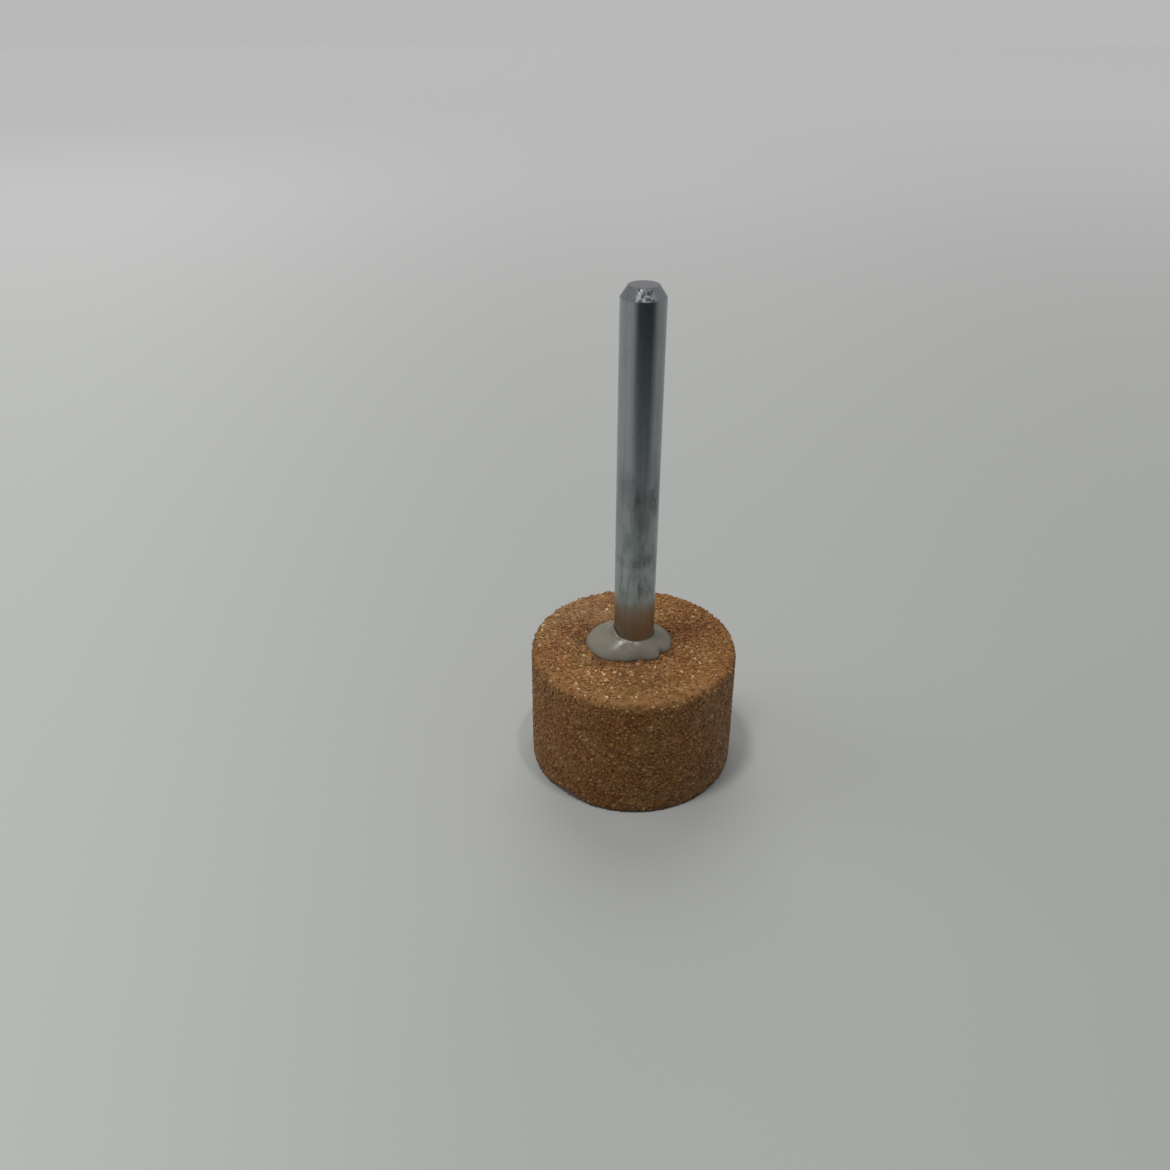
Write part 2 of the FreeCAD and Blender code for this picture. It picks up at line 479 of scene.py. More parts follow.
    def stretched(self, vector: object, scale: tuple[float, float, float]) -> bpy.types.NodeSocket:
        """A place with each axis scaled.

        Args:
            vector: The place.
            scale: Factor along each axis; less than 1 makes a pattern longer.

        Returns:
            The scaled place.
        """
        made = self.node("ShaderNodeMapping")
        self.feed(made.inputs["Vector"], vector)
        made.inputs["Scale"].default_value = scale
        return made.outputs[0]

    def group(self, tree: bpy.types.NodeTree, **values: object) -> bpy.types.Node:
        """Places a shared effect.

        Args:
            tree: The effect's node group.
            values: Numbers or outputs for its inputs by name.

        Returns:
            The group node.
        """
        made = self.node("ShaderNodeGroup", node_tree=tree)
        for name, value in values.items():
            self.feed(made.inputs[name], value)
        return made


def new_material(name: str) -> tuple[bpy.types.Material, Graph, bpy.types.Node]:
    """An empty material with one Principled shader.

    Args:
        name: Name of the material.

    Returns:
        The material, its graph, and the Principled node.
    """
    material = bpy.data.materials.new(name)
    material.use_nodes = True
    graph = Graph(material.node_tree)
    shader = graph.node("ShaderNodeBsdfPrincipled")
    output = graph.node("ShaderNodeOutputMaterial")
    graph.feed(output.inputs["Surface"], shader.outputs[0])
    return material, graph, shader


def new_group(
    name: str, inputs: dict[str, tuple[str, object]], outputs: dict[str, str]
) -> tuple[bpy.types.NodeTree, Graph, bpy.types.Node, bpy.types.Node]:
    """A node group with named sockets.

    Args:
        name: Name of the group.
        inputs: Socket type and starting value by input name.
        outputs: Socket type by output name.

    Returns:
        The group, its graph, and its input and output nodes.
    """
    tree = bpy.data.node_groups.new(name, "ShaderNodeTree")
    for label, (kind, value) in inputs.items():
        socket = tree.interface.new_socket(label, in_out="INPUT", socket_type=kind)
        if value is not None:
            socket.default_value = value
    for label, kind in outputs.items():
        tree.interface.new_socket(label, in_out="OUTPUT", socket_type=kind)
    graph = Graph(tree)
    return tree, graph, graph.node("NodeGroupInput"), graph.node("NodeGroupOutput")


# Detail and share of the patches per metre, for the mottle's wide noise and its narrow one
MOTTLE_WAVES = ((1.0, 1.0), (4.0, 3.7))

# Tones of the abrasive by the grain's value, the dark bond and the pale crystals first
GRIT_TONES = (
    (0.0, linear(114, 77, 42)),
    (1.0, linear(212, 191, 156)),
    (0.3, linear(130, 91, 51)),
    (0.7, linear(143, 103, 59)),
    (0.965, linear(162, 122, 76)),
)
REDDISH = (1.0, 0.89, 0.81, 1)
OLIVE = (1.03, 1.08, 1.05, 1)
TINT_PATCH = 5.0
# Pale dust, and the painted sheen on the face
DUST_AND_SHEEN_TONE = linear(184, 164, 142)
# Dark specks and painted shade: round the collar's foot, and a painted contact shadow along the
# base
SPECK_AND_SHADE_TONE = linear(56, 33, 20)

# How often the gloss runs through its range over the grain's values
GLOSS_TURNS = 37.0


@dataclass(frozen=True)
class SharedEffects:
    """Effects that more than one finish uses, each a node group built once.

    Attributes:
        mottle: Uneven tone: darkens and lightens a colour in soft patches.
        grit: Colour of packed grains, from a value for each grain.
    """

    mottle: bpy.types.NodeTree
    grit: bpy.types.NodeTree

    @classmethod
    def build(cls) -> "SharedEffects":
        """Makes the groups."""
        return cls(mottle=cls.make_mottle(), grit=cls.make_grit())

    @staticmethod
    def make_mottle() -> bpy.types.NodeTree:
        """Uneven tone. The colour is multiplied by 1 plus the amount times the sum of a
        wide and a narrow noise, each less its mean of a half.

        Returns:
            The group.
        """
        tree, graph, inlet, outlet = new_group(
            "mottled_tone",
            {
                "Color": (COLOR, (0.5, 0.5, 0.5, 1)),
                "Place": (VECTOR, None),
                "Patches per metre": (FLOAT, 200.0),
                "Amount": (FLOAT, 0.3),
            },
            {"Color": COLOR, "Pattern": FLOAT},
        )
        waves = []
        for detail, share in MOTTLE_WAVES:
            wave = graph.node("ShaderNodeTexNoise")
            graph.feed(wave.inputs["Vector"], inlet.outputs["Place"])
            patches = graph.math("MULTIPLY", inlet.outputs["Patches per metre"], share)
            graph.feed(wave.inputs["Scale"], patches)
            wave.inputs["Detail"].default_value = detail
            waves.append(graph.math("SUBTRACT", wave.outputs[0], 0.5))
        pattern = graph.math("ADD", *waves)
        factor = graph.math("MULTIPLY_ADD", pattern, inlet.outputs["Amount"], 1.0)
        toned = graph.node("ShaderNodeVectorMath", operation="SCALE")
        graph.feed(toned.inputs[0], inlet.outputs["Color"])
        graph.feed(toned.inputs["Scale"], factor)
        graph.feed(outlet.inputs["Color"], toned.outputs[0])
        graph.feed(outlet.inputs["Pattern"], pattern)
        return tree

    @staticmethod
    def make_grit() -> bpy.types.NodeTree:
        """Grain colour. The grain's value picks a tone between the dark bond and the
        pale crystals, mostly amber brown, that wanders slowly from reddish to olive.
        The dust share, a painted sheen on the face, whitens it, and the share of dark
        specks and painted shade darkens it.

        Returns:
            The group.
        """
        tree, graph, inlet, outlet = new_group(
            "grit_tone",
            {
                "Grain": (FLOAT, 0.5),
                "Place": (VECTOR, None),
                "Dust": (FLOAT, 0.0),
                "Soot": (FLOAT, 0.0),
            },
            {"Color": COLOR, "Roughness": FLOAT},
        )
        tone = graph.ramp(inlet.outputs["Grain"], GRIT_TONES)
        wander = graph.noise(inlet.outputs["Place"], TINT_PATCH, 2.0)
        tint = graph.mix(graph.spread(wander, 0.42, 0.64), REDDISH, OLIVE)
        tinted = graph.mix(1.0, tone, tint, "MULTIPLY")
        dusted_and_sheened = graph.mix(inlet.outputs["Dust"], tinted, DUST_AND_SHEEN_TONE)
        specked_and_shaded = graph.mix(inlet.outputs["Soot"], dusted_and_sheened, SPECK_AND_SHADE_TONE)
        graph.feed(outlet.inputs["Color"], specked_and_shaded)
        turned = graph.math("MULTIPLY", inlet.outputs["Grain"], GLOSS_TURNS)
        gloss = graph.spread(graph.math("FRACT", turned), 0.0, 0.4, 0.3, 0.75)
        graph.feed(outlet.inputs["Roughness"], gloss)
        return tree


# Finishes

# How uneven the tone of the abrasive is, both in its skin and in its loose crystals
ABRASIVE_MOTTLE = {"Patches per metre": 260.0, "Amount": 0.3}


@dataclass(frozen=True)
class FusedGrain:
    """Pressed and fired abrasive: amber brown grain, pores in painted shade, a worn pale rim.

    Attributes:
        grain: Width of a grain in millimetres.
        pore: Width of the cells that pores are picked from in millimetres.
        pore_edge: Distances from a cell's heart, in cells, at which a pore starts to
            fade out and at which it has ended.
        pore_share: Share of the painted shade in a pore's middle.
        pore_shade_tone: Painted shade in a pore.
        rubbed_share: Share of the rubbed tone where the wheel is fully worn.
        rubbed_tone: Tone of grain rubbed smooth.
        glossiest: Lowest roughness.
        shine: Specular level, low because the pores swallow most reflections.
        relief: Height of the grains in millimetres that the shading shows.
    """

    grain: float = 0.4
    pore: float = 0.9
    pore_edge: tuple[float, float] = (0.1, 0.3)
    pore_share: float = 0.55
    pore_shade_tone: Colour = linear(80, 49, 28)
    rubbed_share: float = 0.8
    rubbed_tone: Colour = linear(136, 98, 59)
    glossiest: float = 0.4
    shine: float = 0.22
    relief: float = 0.1

    def material(self, effects: SharedEffects) -> bpy.types.Material:
        """Builds the finish of the wheel's own surface.

        Every grain has one tone. Pores are darkened with painted shade, and where the worn
        mark is high the grain is smeared to an even light tan.

        Args:
            effects: The shared node groups.

        Returns:
            The material.
        """
        material, graph, shader = new_material("fused_grain")
        place = graph.place()
        grains = graph.cells(place, self.grain)
        pores = graph.cells(place, self.pore)
        value = graph.node("ShaderNodeSeparateColor")
        graph.feed(value.inputs[0], grains.outputs["Color"])
        grit = graph.group(
            effects.grit,
            Grain=value.outputs[0],
            Place=place,
            Dust=graph.attribute("dust_and_painted_light"),
            Soot=graph.attribute("specks_and_shade"),
        )
        worn = graph.attribute("worn")
        rubbed = graph.math("MULTIPLY", worn, self.rubbed_share)
        smeared = graph.mix(rubbed, grit.outputs["Color"], self.rubbed_tone)
        hollow = graph.spread(pores.outputs["Distance"], *self.pore_edge, 1.0, 0.0)
        hollow = graph.math("MULTIPLY", hollow, graph.math("SUBTRACT", 1.0, worn))
        # Painted shade in the pores
        dark = graph.math("MULTIPLY", hollow, self.pore_share)
        pore_shaded = graph.mix(dark, smeared, self.pore_shade_tone)
        mottled = graph.group(effects.mottle, Color=pore_shaded, Place=place, **ABRASIVE_MOTTLE)
        graph.feed(shader.inputs["Base Color"], mottled.outputs["Color"])
        rough = graph.math("MAXIMUM", grit.outputs["Roughness"], self.glossiest)
        graph.feed(shader.inputs["Roughness"], rough)
        shader.inputs["Specular IOR Level"].default_value = self.shine
        distance, pattern = grains.outputs["Distance"], mottled.outputs["Pattern"]
        lumps = graph.math("MULTIPLY_ADD", distance, -0.6, pattern)
        lumps = graph.math("SUBTRACT", lumps, hollow)
        graph.feed(shader.inputs["Normal"], graph.bump(lumps, self.relief, 0.5))
        return material


@dataclass(frozen=True)
class CrystalFacets:
    """Loose faces of the abrasive crystals, each with a tone and a gloss of its own.

    Attributes:
        shine: Specular level.
    """

    shine: float = 0.3

    def material(self, effects: SharedEffects) -> bpy.types.Material:
        """Builds the finish of the crystals from their own marks.

        Args:
            effects: The shared node groups.

        Returns:
            The material.
        """
        material, graph, shader = new_material("crystal_facets")
        place = graph.place()
        grit = graph.group(
            effects.grit,
            Grain=graph.attribute("grain"),
            Place=place,
            Dust=graph.attribute("dust_and_painted_light"),
            Soot=graph.attribute("specks_and_shade"),
        )
        tone = grit.outputs["Color"]
        mottled = graph.group(effects.mottle, Color=tone, Place=place, **ABRASIVE_MOTTLE)
        graph.feed(shader.inputs["Base Color"], mottled.outputs["Color"])
        graph.feed(shader.inputs["Roughness"], grit.outputs["Roughness"])
        shader.inputs["Specular IOR Level"].default_value = self.shine
        return material


@dataclass(frozen=True)
class Smudge:
    """A soft mark on the rod, given one by one.

    Attributes:
        turn: Direction in degrees from the front towards the right.
        height: Height of its middle in millimetres.
        half_width: Half of its width round the rod in millimetres.
        half_height: Half of its height in millimetres.
        depth: Share of darkening in its middle; below 0 it takes darkening away.
        speckled: Whether small round specks show in it.
    """

    turn: float
    height: float
    half_width: float
    half_height: float
    depth: float
    speckled: bool = False


@dataclass(frozen=True)
class ZincPlating:
    """Bright zinc over drawn steel, dull and stained towards the wheel.

    Attributes:
        radius: Radius of the rod in millimetres.
        tip: Height of the end face in millimetres.
        cone_from: Height in millimetres at which the tip's cone starts.
        stained_from: Height in millimetres above which the stains have faded out.
        stained_to: Height in millimetres below which they are full.
        fogged_to: Height in millimetres below which the plating is dull.
        pale_to: Height in millimetres up to which a paler band lies over the dull part.
        high_tone: Plating above the stains.
        low_tone: Plating among the stains.
        pale_tone: Plating in the paler band.
        stone_reflection_tone: Painted reflection of the brown stone, just above the cement.
        stain_tone: The soft stains.
        streak_tone: The streaks along the rod.
        smudge_tone: The marks that stand out.
        painted_dark_reflection_tone: Painted dark reflection in spots on the cone's front.
        painted_highlight_tone: Painted highlight in bright spots on the cone's front.
        face_tone: The end face.
        smudges: The marks that stand out.
    """

    radius: float
    tip: float
    cone_from: float
    stained_from: float = 52.0
    stained_to: float = 36.0
    fogged_to: float = 28.6
    pale_to: float = 33.0
    high_tone: Colour = (0.356, 0.37, 0.395, 1)
    low_tone: Colour = (0.35, 0.38, 0.37, 1)
    pale_tone: Colour = (0.45, 0.49, 0.5, 1)
    stone_reflection_tone: Colour = (0.365, 0.335, 0.285, 1)
    stain_tone: Colour = (0.2, 0.23, 0.22, 1)
    streak_tone: Colour = (0.2, 0.235, 0.24, 1)
    smudge_tone: Colour = (0.03, 0.036, 0.038, 1)
    painted_dark_reflection_tone: Colour = (0.05, 0.055, 0.07, 1)
    painted_highlight_tone: Colour = (0.85, 0.88, 0.92, 1)
    face_tone: Colour = (0.362, 0.357, 0.378, 1)
    smudges: tuple[Smudge, ...] = (
        Smudge(19.0, 44.2, 2.1, 2.2, 0.24),
        Smudge(2.0, 46.2, 0.8, 1.6, 0.12),
        Smudge(42.0, 45.6, 0.9, 1.6, 0.08),
        Smudge(-38.0, 46.5, 2.0, 2.6, 0.26),
        Smudge(62.0, 45.6, 1.6, 2.6, 0.26),
        Smudge(44.0, 48.8, 1.5, 3.0, 0.18),
        Smudge(-46.0, 49.0, 1.6, 2.6, 0.1),
        Smudge(4.0, 40.6, 0.35, 2.6, 0.16),
        Smudge(26.0, 41.5, 0.3, 1.4, 0.2),
        Smudge(-18.0, 40.0, 0.3, 3.0, 0.1),
        Smudge(18.0, 35.7, 1.8, 0.9, 0.42, True),
        Smudge(-16.0, 35.2, 0.8, 0.8, 0.24, True),
        Smudge(36.0, 35.9, 0.8, 1.0, 0.26),
        Smudge(27.0, 31.4, 0.8, 1.6, 0.4, True),
        Smudge(8.0, 31.0, 0.26, 1.4, 0.36),
        Smudge(-28.0, 30.2, 0.7, 0.9, 0.36, True),
        Smudge(14.4, 34.0, 0.6, 0.5, -0.3),
    )

    @staticmethod
    def rising(
        graph: Graph, rise: bpy.types.NodeSocket, low: float, high: float
    ) -> bpy.types.NodeSocket:
        """A share that eases from 0 to 1 between two heights in millimetres.

        Args:
            graph: The material's graph.
            rise: Height in metres.
            low: Height where the share leaves 0.
            high: Height where it reaches 1.

        Returns:
            The share.
        """
        return graph.spread(rise, low * MM, high * MM)

    def marks(
        self,
        graph: Graph,
        place: bpy.types.NodeSocket,
        arc: bpy.types.NodeSocket,
        rise: bpy.types.NodeSocket,
    ) -> bpy.types.NodeSocket:
        """Adds up the smudges: each is an oval in arc and height whose depth fades out
        round its half sizes. A noise frays their edges and dulls the rod a little
        between them, and a finer one sets the specks.

        Args:
            graph: The material's graph.
            place: The place on the piece.
            arc: Distance round the rod from its front, in metres.
            rise: Height in metres.

        Returns:
            The share of darkening.
        """
        fray = graph.noise(graph.stretched(place, (1.0, 1.0, 0.5)), 0.5, 3.0)
        fray = graph.math("SUBTRACT", fray, 0.5)
        specks = graph.spread(graph.noise(place, 0.34, 1.0), 0.46, 0.72, 0.4, 1.0)
        total = graph.math("MULTIPLY", fray, 0.25)
        for smudge in self.smudges:
            middle = math.radians(smudge.turn) * self.radius
            wide, tall = smudge.half_width, smudge.half_height
            across = graph.math("MULTIPLY_ADD", arc, 1 / (wide * MM), -middle / wide)
            along = graph.math("MULTIPLY_ADD", rise, 1 / (tall * MM), -smudge.height / tall)
            squares = [graph.math("POWER", offset, 2.0) for offset in (across, along)]
            away = graph.math("ADD", *squares)
            away = graph.math("MULTIPLY_ADD", fray, 3.0, away)
            depth = graph.spread(away, -0.2, 2.0, smudge.depth, 0.0)
            if smudge.speckled:
                depth = graph.math("MULTIPLY", depth, specks)
            total = graph.math("ADD", total, depth)
        return total

    def material(self, effects: SharedEffects) -> bpy.types.Material:
        """Builds the finish of the shank.

        Soft stains are long in the direction of drawing and grow towards the wheel, and
        the smudges lie over them. Faint streaks run along the whole rod. The cone's
        front is scuffed, and a painted reflection lies on it: dark spots, and small
        bright ones that are a painted highlight, brightest low on its left.

        Args:
            effects: The shared node groups.

        Returns:
            The material.
        """
        material, graph, shader = new_material("zinc_plating")
        place = graph.place()
        split = graph.node("ShaderNodeSeparateXYZ")
        graph.feed(split.inputs[0], place)
        rise = split.outputs["Z"]
        ahead = graph.math("MULTIPLY", split.outputs["Y"], -1.0)
        turn = graph.math("ARCTAN2", split.outputs["X"], ahead)
        arc = graph.math("MULTIPLY", turn, self.radius * MM)

        low = graph.spread(rise, self.stained_to * MM, self.stained_from * MM, 1.0, 0.1)
        drawn = graph.stretched(place, (1.0, 1.0, 0.35))
        stain = graph.spread(graph.noise(drawn, 1.3, 4.0, 0.6), 0.42, 0.68, 0.0, 0.75)
        above_fog = self.rising(graph, rise, self.fogged_to - 1.2, self.fogged_to + 0.6)
        stained = graph.math("MULTIPLY", graph.math("MULTIPLY", stain, low), above_fog)

        plate = graph.mix(low, self.high_tone, self.low_tone)
        pale = graph.spread(rise, self.pale_to * MM, (self.pale_to + 3.0) * MM, 0.5, 0.0)
        plate = graph.mix(pale, plate, self.pale_tone)
        # Below the fog line the colour is a painted reflection of the brown stone
        plate = graph.mix(above_fog, self.stone_reflection_tone, plate)
        dulled = graph.mix(stained, plate, self.stain_tone)
        streaks = graph.noise(graph.stretched(place, (1.0, 1.0, 0.04)), 0.45, 3.0, 0.6)
        streaked = graph.spread(streaks, 0.4, 0.7, 0.0, 0.3)
        dulled = graph.mix(streaked, dulled, self.streak_tone)
        uneven = {"Patches per metre": 450.0, "Amount": 0.2}
        toned = graph.group(effects.mottle, Color=dulled, Place=drawn, **uneven)
        marks = self.marks(graph, place, arc, rise)
        marked = graph.mix(marks, toned.outputs["Color"], self.smudge_tone)

        end = self.rising(graph, rise, self.tip - 0.08, self.tip - 0.01)
        sideways = graph.math("ABSOLUTE", graph.math("SUBTRACT", arc, 0.15 * MM))
        past_edge = self.rising(graph, rise, self.cone_from - 0.1, self.cone_from + 0.2)
        on_cone = graph.math("SUBTRACT", past_edge, end)
        in_front = graph.spread(sideways, 1.0 * MM, 1.8 * MM, 1.0, 0.0)
        # Painted reflection on the cone's front: dark spots, and bright spots of painted highlight
        # placed low on the left
        scuffs_and_painted_reflection = graph.math("MULTIPLY", on_cone, in_front)
        dents = graph.noise(place, 0.5, 1.0, 0.5)
        leftward = graph.spread(arc, -0.7 * MM, 1.0 * MM, 1.0, 0.3)
        cone_low, cone_high = (self.cone_from + 0.3) * MM, (self.tip - 0.3) * MM
        lowness = graph.spread(rise, cone_low, cone_high, 1.0, 0.35)
        painted_highlight_share = graph.math("MULTIPLY", graph.math("MULTIPLY", scuffs_and_painted_reflection, leftward), lowness)
        painted_dark_spots = graph.math("MULTIPLY", scuffs_and_painted_reflection, graph.spread(dents, 0.34, 0.6, 0.75, 0.0))
        painted_bright_spots = graph.math("MULTIPLY", painted_highlight_share, graph.spread(dents, 0.36, 0.56))
        painted_reflection = graph.mix(painted_dark_spots, marked, self.painted_dark_reflection_tone)
        painted_reflection = graph.mix(painted_bright_spots, painted_reflection, self.painted_highlight_tone)
        graph.feed(shader.inputs["Base Color"], graph.mix(end, painted_reflection, self.face_tone))
        shader.inputs["Metallic"].default_value = 1.0

        dull = graph.math("MULTIPLY_ADD", low, 0.06, 0.22)
        dull = graph.math("MULTIPLY_ADD", stained, 0.12, dull)
        foot_dull = graph.spread(above_fog, 0.0, 1.0, 0.06, 0.0)
        graph.feed(shader.inputs["Roughness"], graph.math("ADD", dull, foot_dull))
        relief = graph.math("MULTIPLY_ADD", streaks, 0.4, graph.math("MULTIPLY", stained, 0.6))
        relief = graph.math("MULTIPLY", relief, graph.math("SUBTRACT", 1.0, end))
        dented_relief = graph.math("MULTIPLY", dents, scuffs_and_painted_reflection)
        relief = graph.math("MULTIPLY_ADD", dented_relief, 3.5, relief)
        graph.feed(shader.inputs["Normal"], graph.bump(relief, 0.05, 0.6))
        return material


@dataclass(frozen=True)
class SetCement:
    """Smooth grey cement, set hard with a slight gloss.

    Attributes:
        tone: Clean cement.
        dust_and_shade_tone: Stone dust, and painted shade at the foot and in cracks.
        shine: Specular level.
    """

    tone: Colour = linear(122, 117, 104)
    dust_and_shade_tone: Colour = linear(100, 80, 58)
    shine: float = 0.4

    def material(self, effects: SharedEffects) -> bpy.types.Material:
        """Builds the finish of the cement, with a brown tinge from stone dust and painted shade.

        Args:
            effects: The shared node groups.

        Returns:
            The material.
        """
        material, graph, shader = new_material("set_cement")
        place = graph.place()
        # Stone dust, with painted shade low at the foot and in the cracks
        dust_and_shade_toned = graph.mix(graph.attribute("dust_and_painted_light"), self.tone, self.dust_and_shade_tone)
        uneven = {"Patches per metre": 500.0, "Amount": 0.12}
        toned = graph.group(effects.mottle, Color=dust_and_shade_toned, Place=place, **uneven)
        graph.feed(shader.inputs["Base Color"], toned.outputs["Color"])
        rough = graph.math("MULTIPLY_ADD", toned.outputs["Pattern"], 0.2, 0.32)
        graph.feed(shader.inputs["Roughness"], rough)
        shader.inputs["Specular IOR Level"].default_value = self.shine
        waves = graph.noise(place, 0.8, 3.0, 0.5)
        graph.feed(shader.inputs["Normal"], graph.bump(waves, 0.05, 0.5))
        return material


@dataclass(frozen=True)
class BenchTop:
    """Plain pale floor with painted light, a little lighter far off and left of the tool.

    For rays off shiny metal the strip in front of the tool is dark, as the shaded side
    of a room is.

    Attributes:
        near: Colour at the tool.
        far: Colour far behind it.
        left_gain: Factor on the colour far to the left.
        right_gain: Factor on the colour far to the right.
        dark_stops: Distance from the tool in metres and share of the colour left there,
            the nearest and the farthest before those between them.
        dark_span: Distance in metres that the whole ramp of shares stands for.
        dark_powers: Power put on the share for each channel, so that the dark is bluish.
        dark_turn: Direction of the dark strip's middle from the front to the right.
        dark_half: Half of the angle that the strip spans in radians.
        dark_edge: Half of the angle over which it fades.
    """

    near: Colour = linear(168, 170, 167)
    far: Colour = linear(184, 185, 184)
    left_gain: float = 1.2
    right_gain: float = 0.92
    dark_stops: tuple[tuple[float, float], ...] = (
        (0.045, 1.0),
        (0.26, 0.05),
        (0.09, 0.6),
        (0.14, 0.32),
        (0.21, 0.13),
    )
    dark_span: float = 0.4
    dark_powers: tuple[float, float, float] = (1.0, 0.9, 0.82)
    dark_turn: float = 0.21
    dark_half: float = 0.88
    dark_edge: float = 0.36

    def lit_tone(
        self,
        graph: Graph,
        across: bpy.types.NodeSocket,
        along: bpy.types.NodeSocket,
        reach: bpy.types.NodeSocket,
    ) -> bpy.types.NodeSocket:
        """The floor's colour with its painted light and shade: from near to far with distance,
        times the gain of a side, which grows with the slope of the line from well in front
        of the tool and fades out far off.

        Args:
            graph: The material's graph.
            across: Distance to the right of the tool, in metres.
            along: Distance behind it, in metres.
            reach: Distance from it, in metres.

        Returns:
            The colour.
        """
        beyond = graph.math("MAXIMUM", graph.math("ADD", along, 0.25), 0.1)
        slope = graph.math("DIVIDE", across, beyond)
        # Painted light, lighter to the left, and painted shade, darker to the right
        left = graph.spread(slope, -0.45, 0.0, self.left_gain, 1.0)
        right = graph.spread(slope, 0.0, 0.4, 1.0, self.right_gain)
        side = graph.math("MULTIPLY", left, right)
        behind = graph.spread(along, -0.12, 0.6)
        distant = graph.math("MAXIMUM", behind, graph.spread(reach, 0.25, 1.2))
        # Painted shade near the tool, painted light far off
        tone = graph.mix(distant, self.near, self.far)
        fading = graph.spread(reach, 0.3, 1.2, 1.0, 0.0)
        side = graph.math("MULTIPLY_ADD", graph.math("SUBTRACT", side, 1.0), fading, 1.0)
        lit = graph.node("ShaderNodeVectorMath", operation="SCALE")
        graph.feed(lit.inputs[0], tone)
        graph.feed(lit.inputs["Scale"], side)
        return lit.outputs[0]

    def strip(
        self,
        graph: Graph,
        across: bpy.types.NodeSocket,
        along: bpy.types.NodeSocket,
        reach: bpy.types.NodeSocket,
    ) -> bpy.types.NodeSocket:
        """How far a place lies in the dark strip: a sector in front of the tool that is
        narrower close to it.

        Args:
            graph: The material's graph.
            across: Distance to the right of the tool, in metres.
            along: Distance behind it, in metres.
            reach: Distance from it, in metres.

        Returns:
            The share.
        """
        ahead = graph.math("MULTIPLY", along, -1.0)
        turn = graph.math("SUBTRACT", graph.math("ARCTAN2", across, ahead), self.dark_turn)
        narrowing = graph.spread(reach, 0.06, 0.16, 0.26, 0.0)
        aside = graph.math("ADD", graph.math("ABSOLUTE", turn), narrowing)
        inner, outer = self.dark_half - self.dark_edge, self.dark_half + self.dark_edge
        return graph.spread(aside, inner, outer, 1.0, 0.0)

    def material(self) -> bpy.types.Material:
        """Builds the floor's finish.

        Returns:
            The material.
        """
        material, graph, shader = new_material("bench_top")
        spot = graph.node("ShaderNodeSeparateXYZ")
        graph.feed(spot.inputs[0], graph.place())
        across, along = spot.outputs["X"], spot.outputs["Y"]
        squares = [graph.math("POWER", offset, 2.0) for offset in (across, along)]
        reach = graph.math("SQRT", graph.math("ADD", *squares))
        lit = self.lit_tone(graph, across, along, reach)
        stops = [
            (place / self.dark_span, (*(share**power for power in self.dark_powers), 1))
            for place, share in self.dark_stops
        ]
        shade = graph.ramp(graph.math("DIVIDE", reach, self.dark_span), stops)
        dark = graph.mix(1.0, lit, shade, "MULTIPLY")
        seen_in_metal = graph.node("ShaderNodeLightPath").outputs["Is Glossy Ray"]
        shown = graph.math("MULTIPLY", self.strip(graph, across, along, reach), seen_in_metal)
        graph.feed(shader.inputs["Base Color"], graph.mix(shown, lit, dark))
        shader.inputs["Roughness"].default_value = 0.9
        shader.inputs["Specular IOR Level"].default_value = 0.0
        return material


# The tool's pieces

# Corners of a block of width 1, and the corner numbers of its twelve triangles
BLOCK_CORNERS = np.array(list(itertools.product((-0.5, 0.5), repeat=3)))
BLOCK_FACES = np.array(
    [
        (0, 1, 3), (0, 3, 2), (4, 6, 7), (4, 7, 5), (0, 4, 5), (0, 5, 1),
        (2, 3, 7), (2, 7, 6), (0, 2, 6), (0, 6, 4), (1, 5, 7), (1, 7, 3),
    ]
)


class GrainZone(Enum):
    """Where loose crystals lie on the wheel."""

    FACE = "face"
    WALL = "wall"


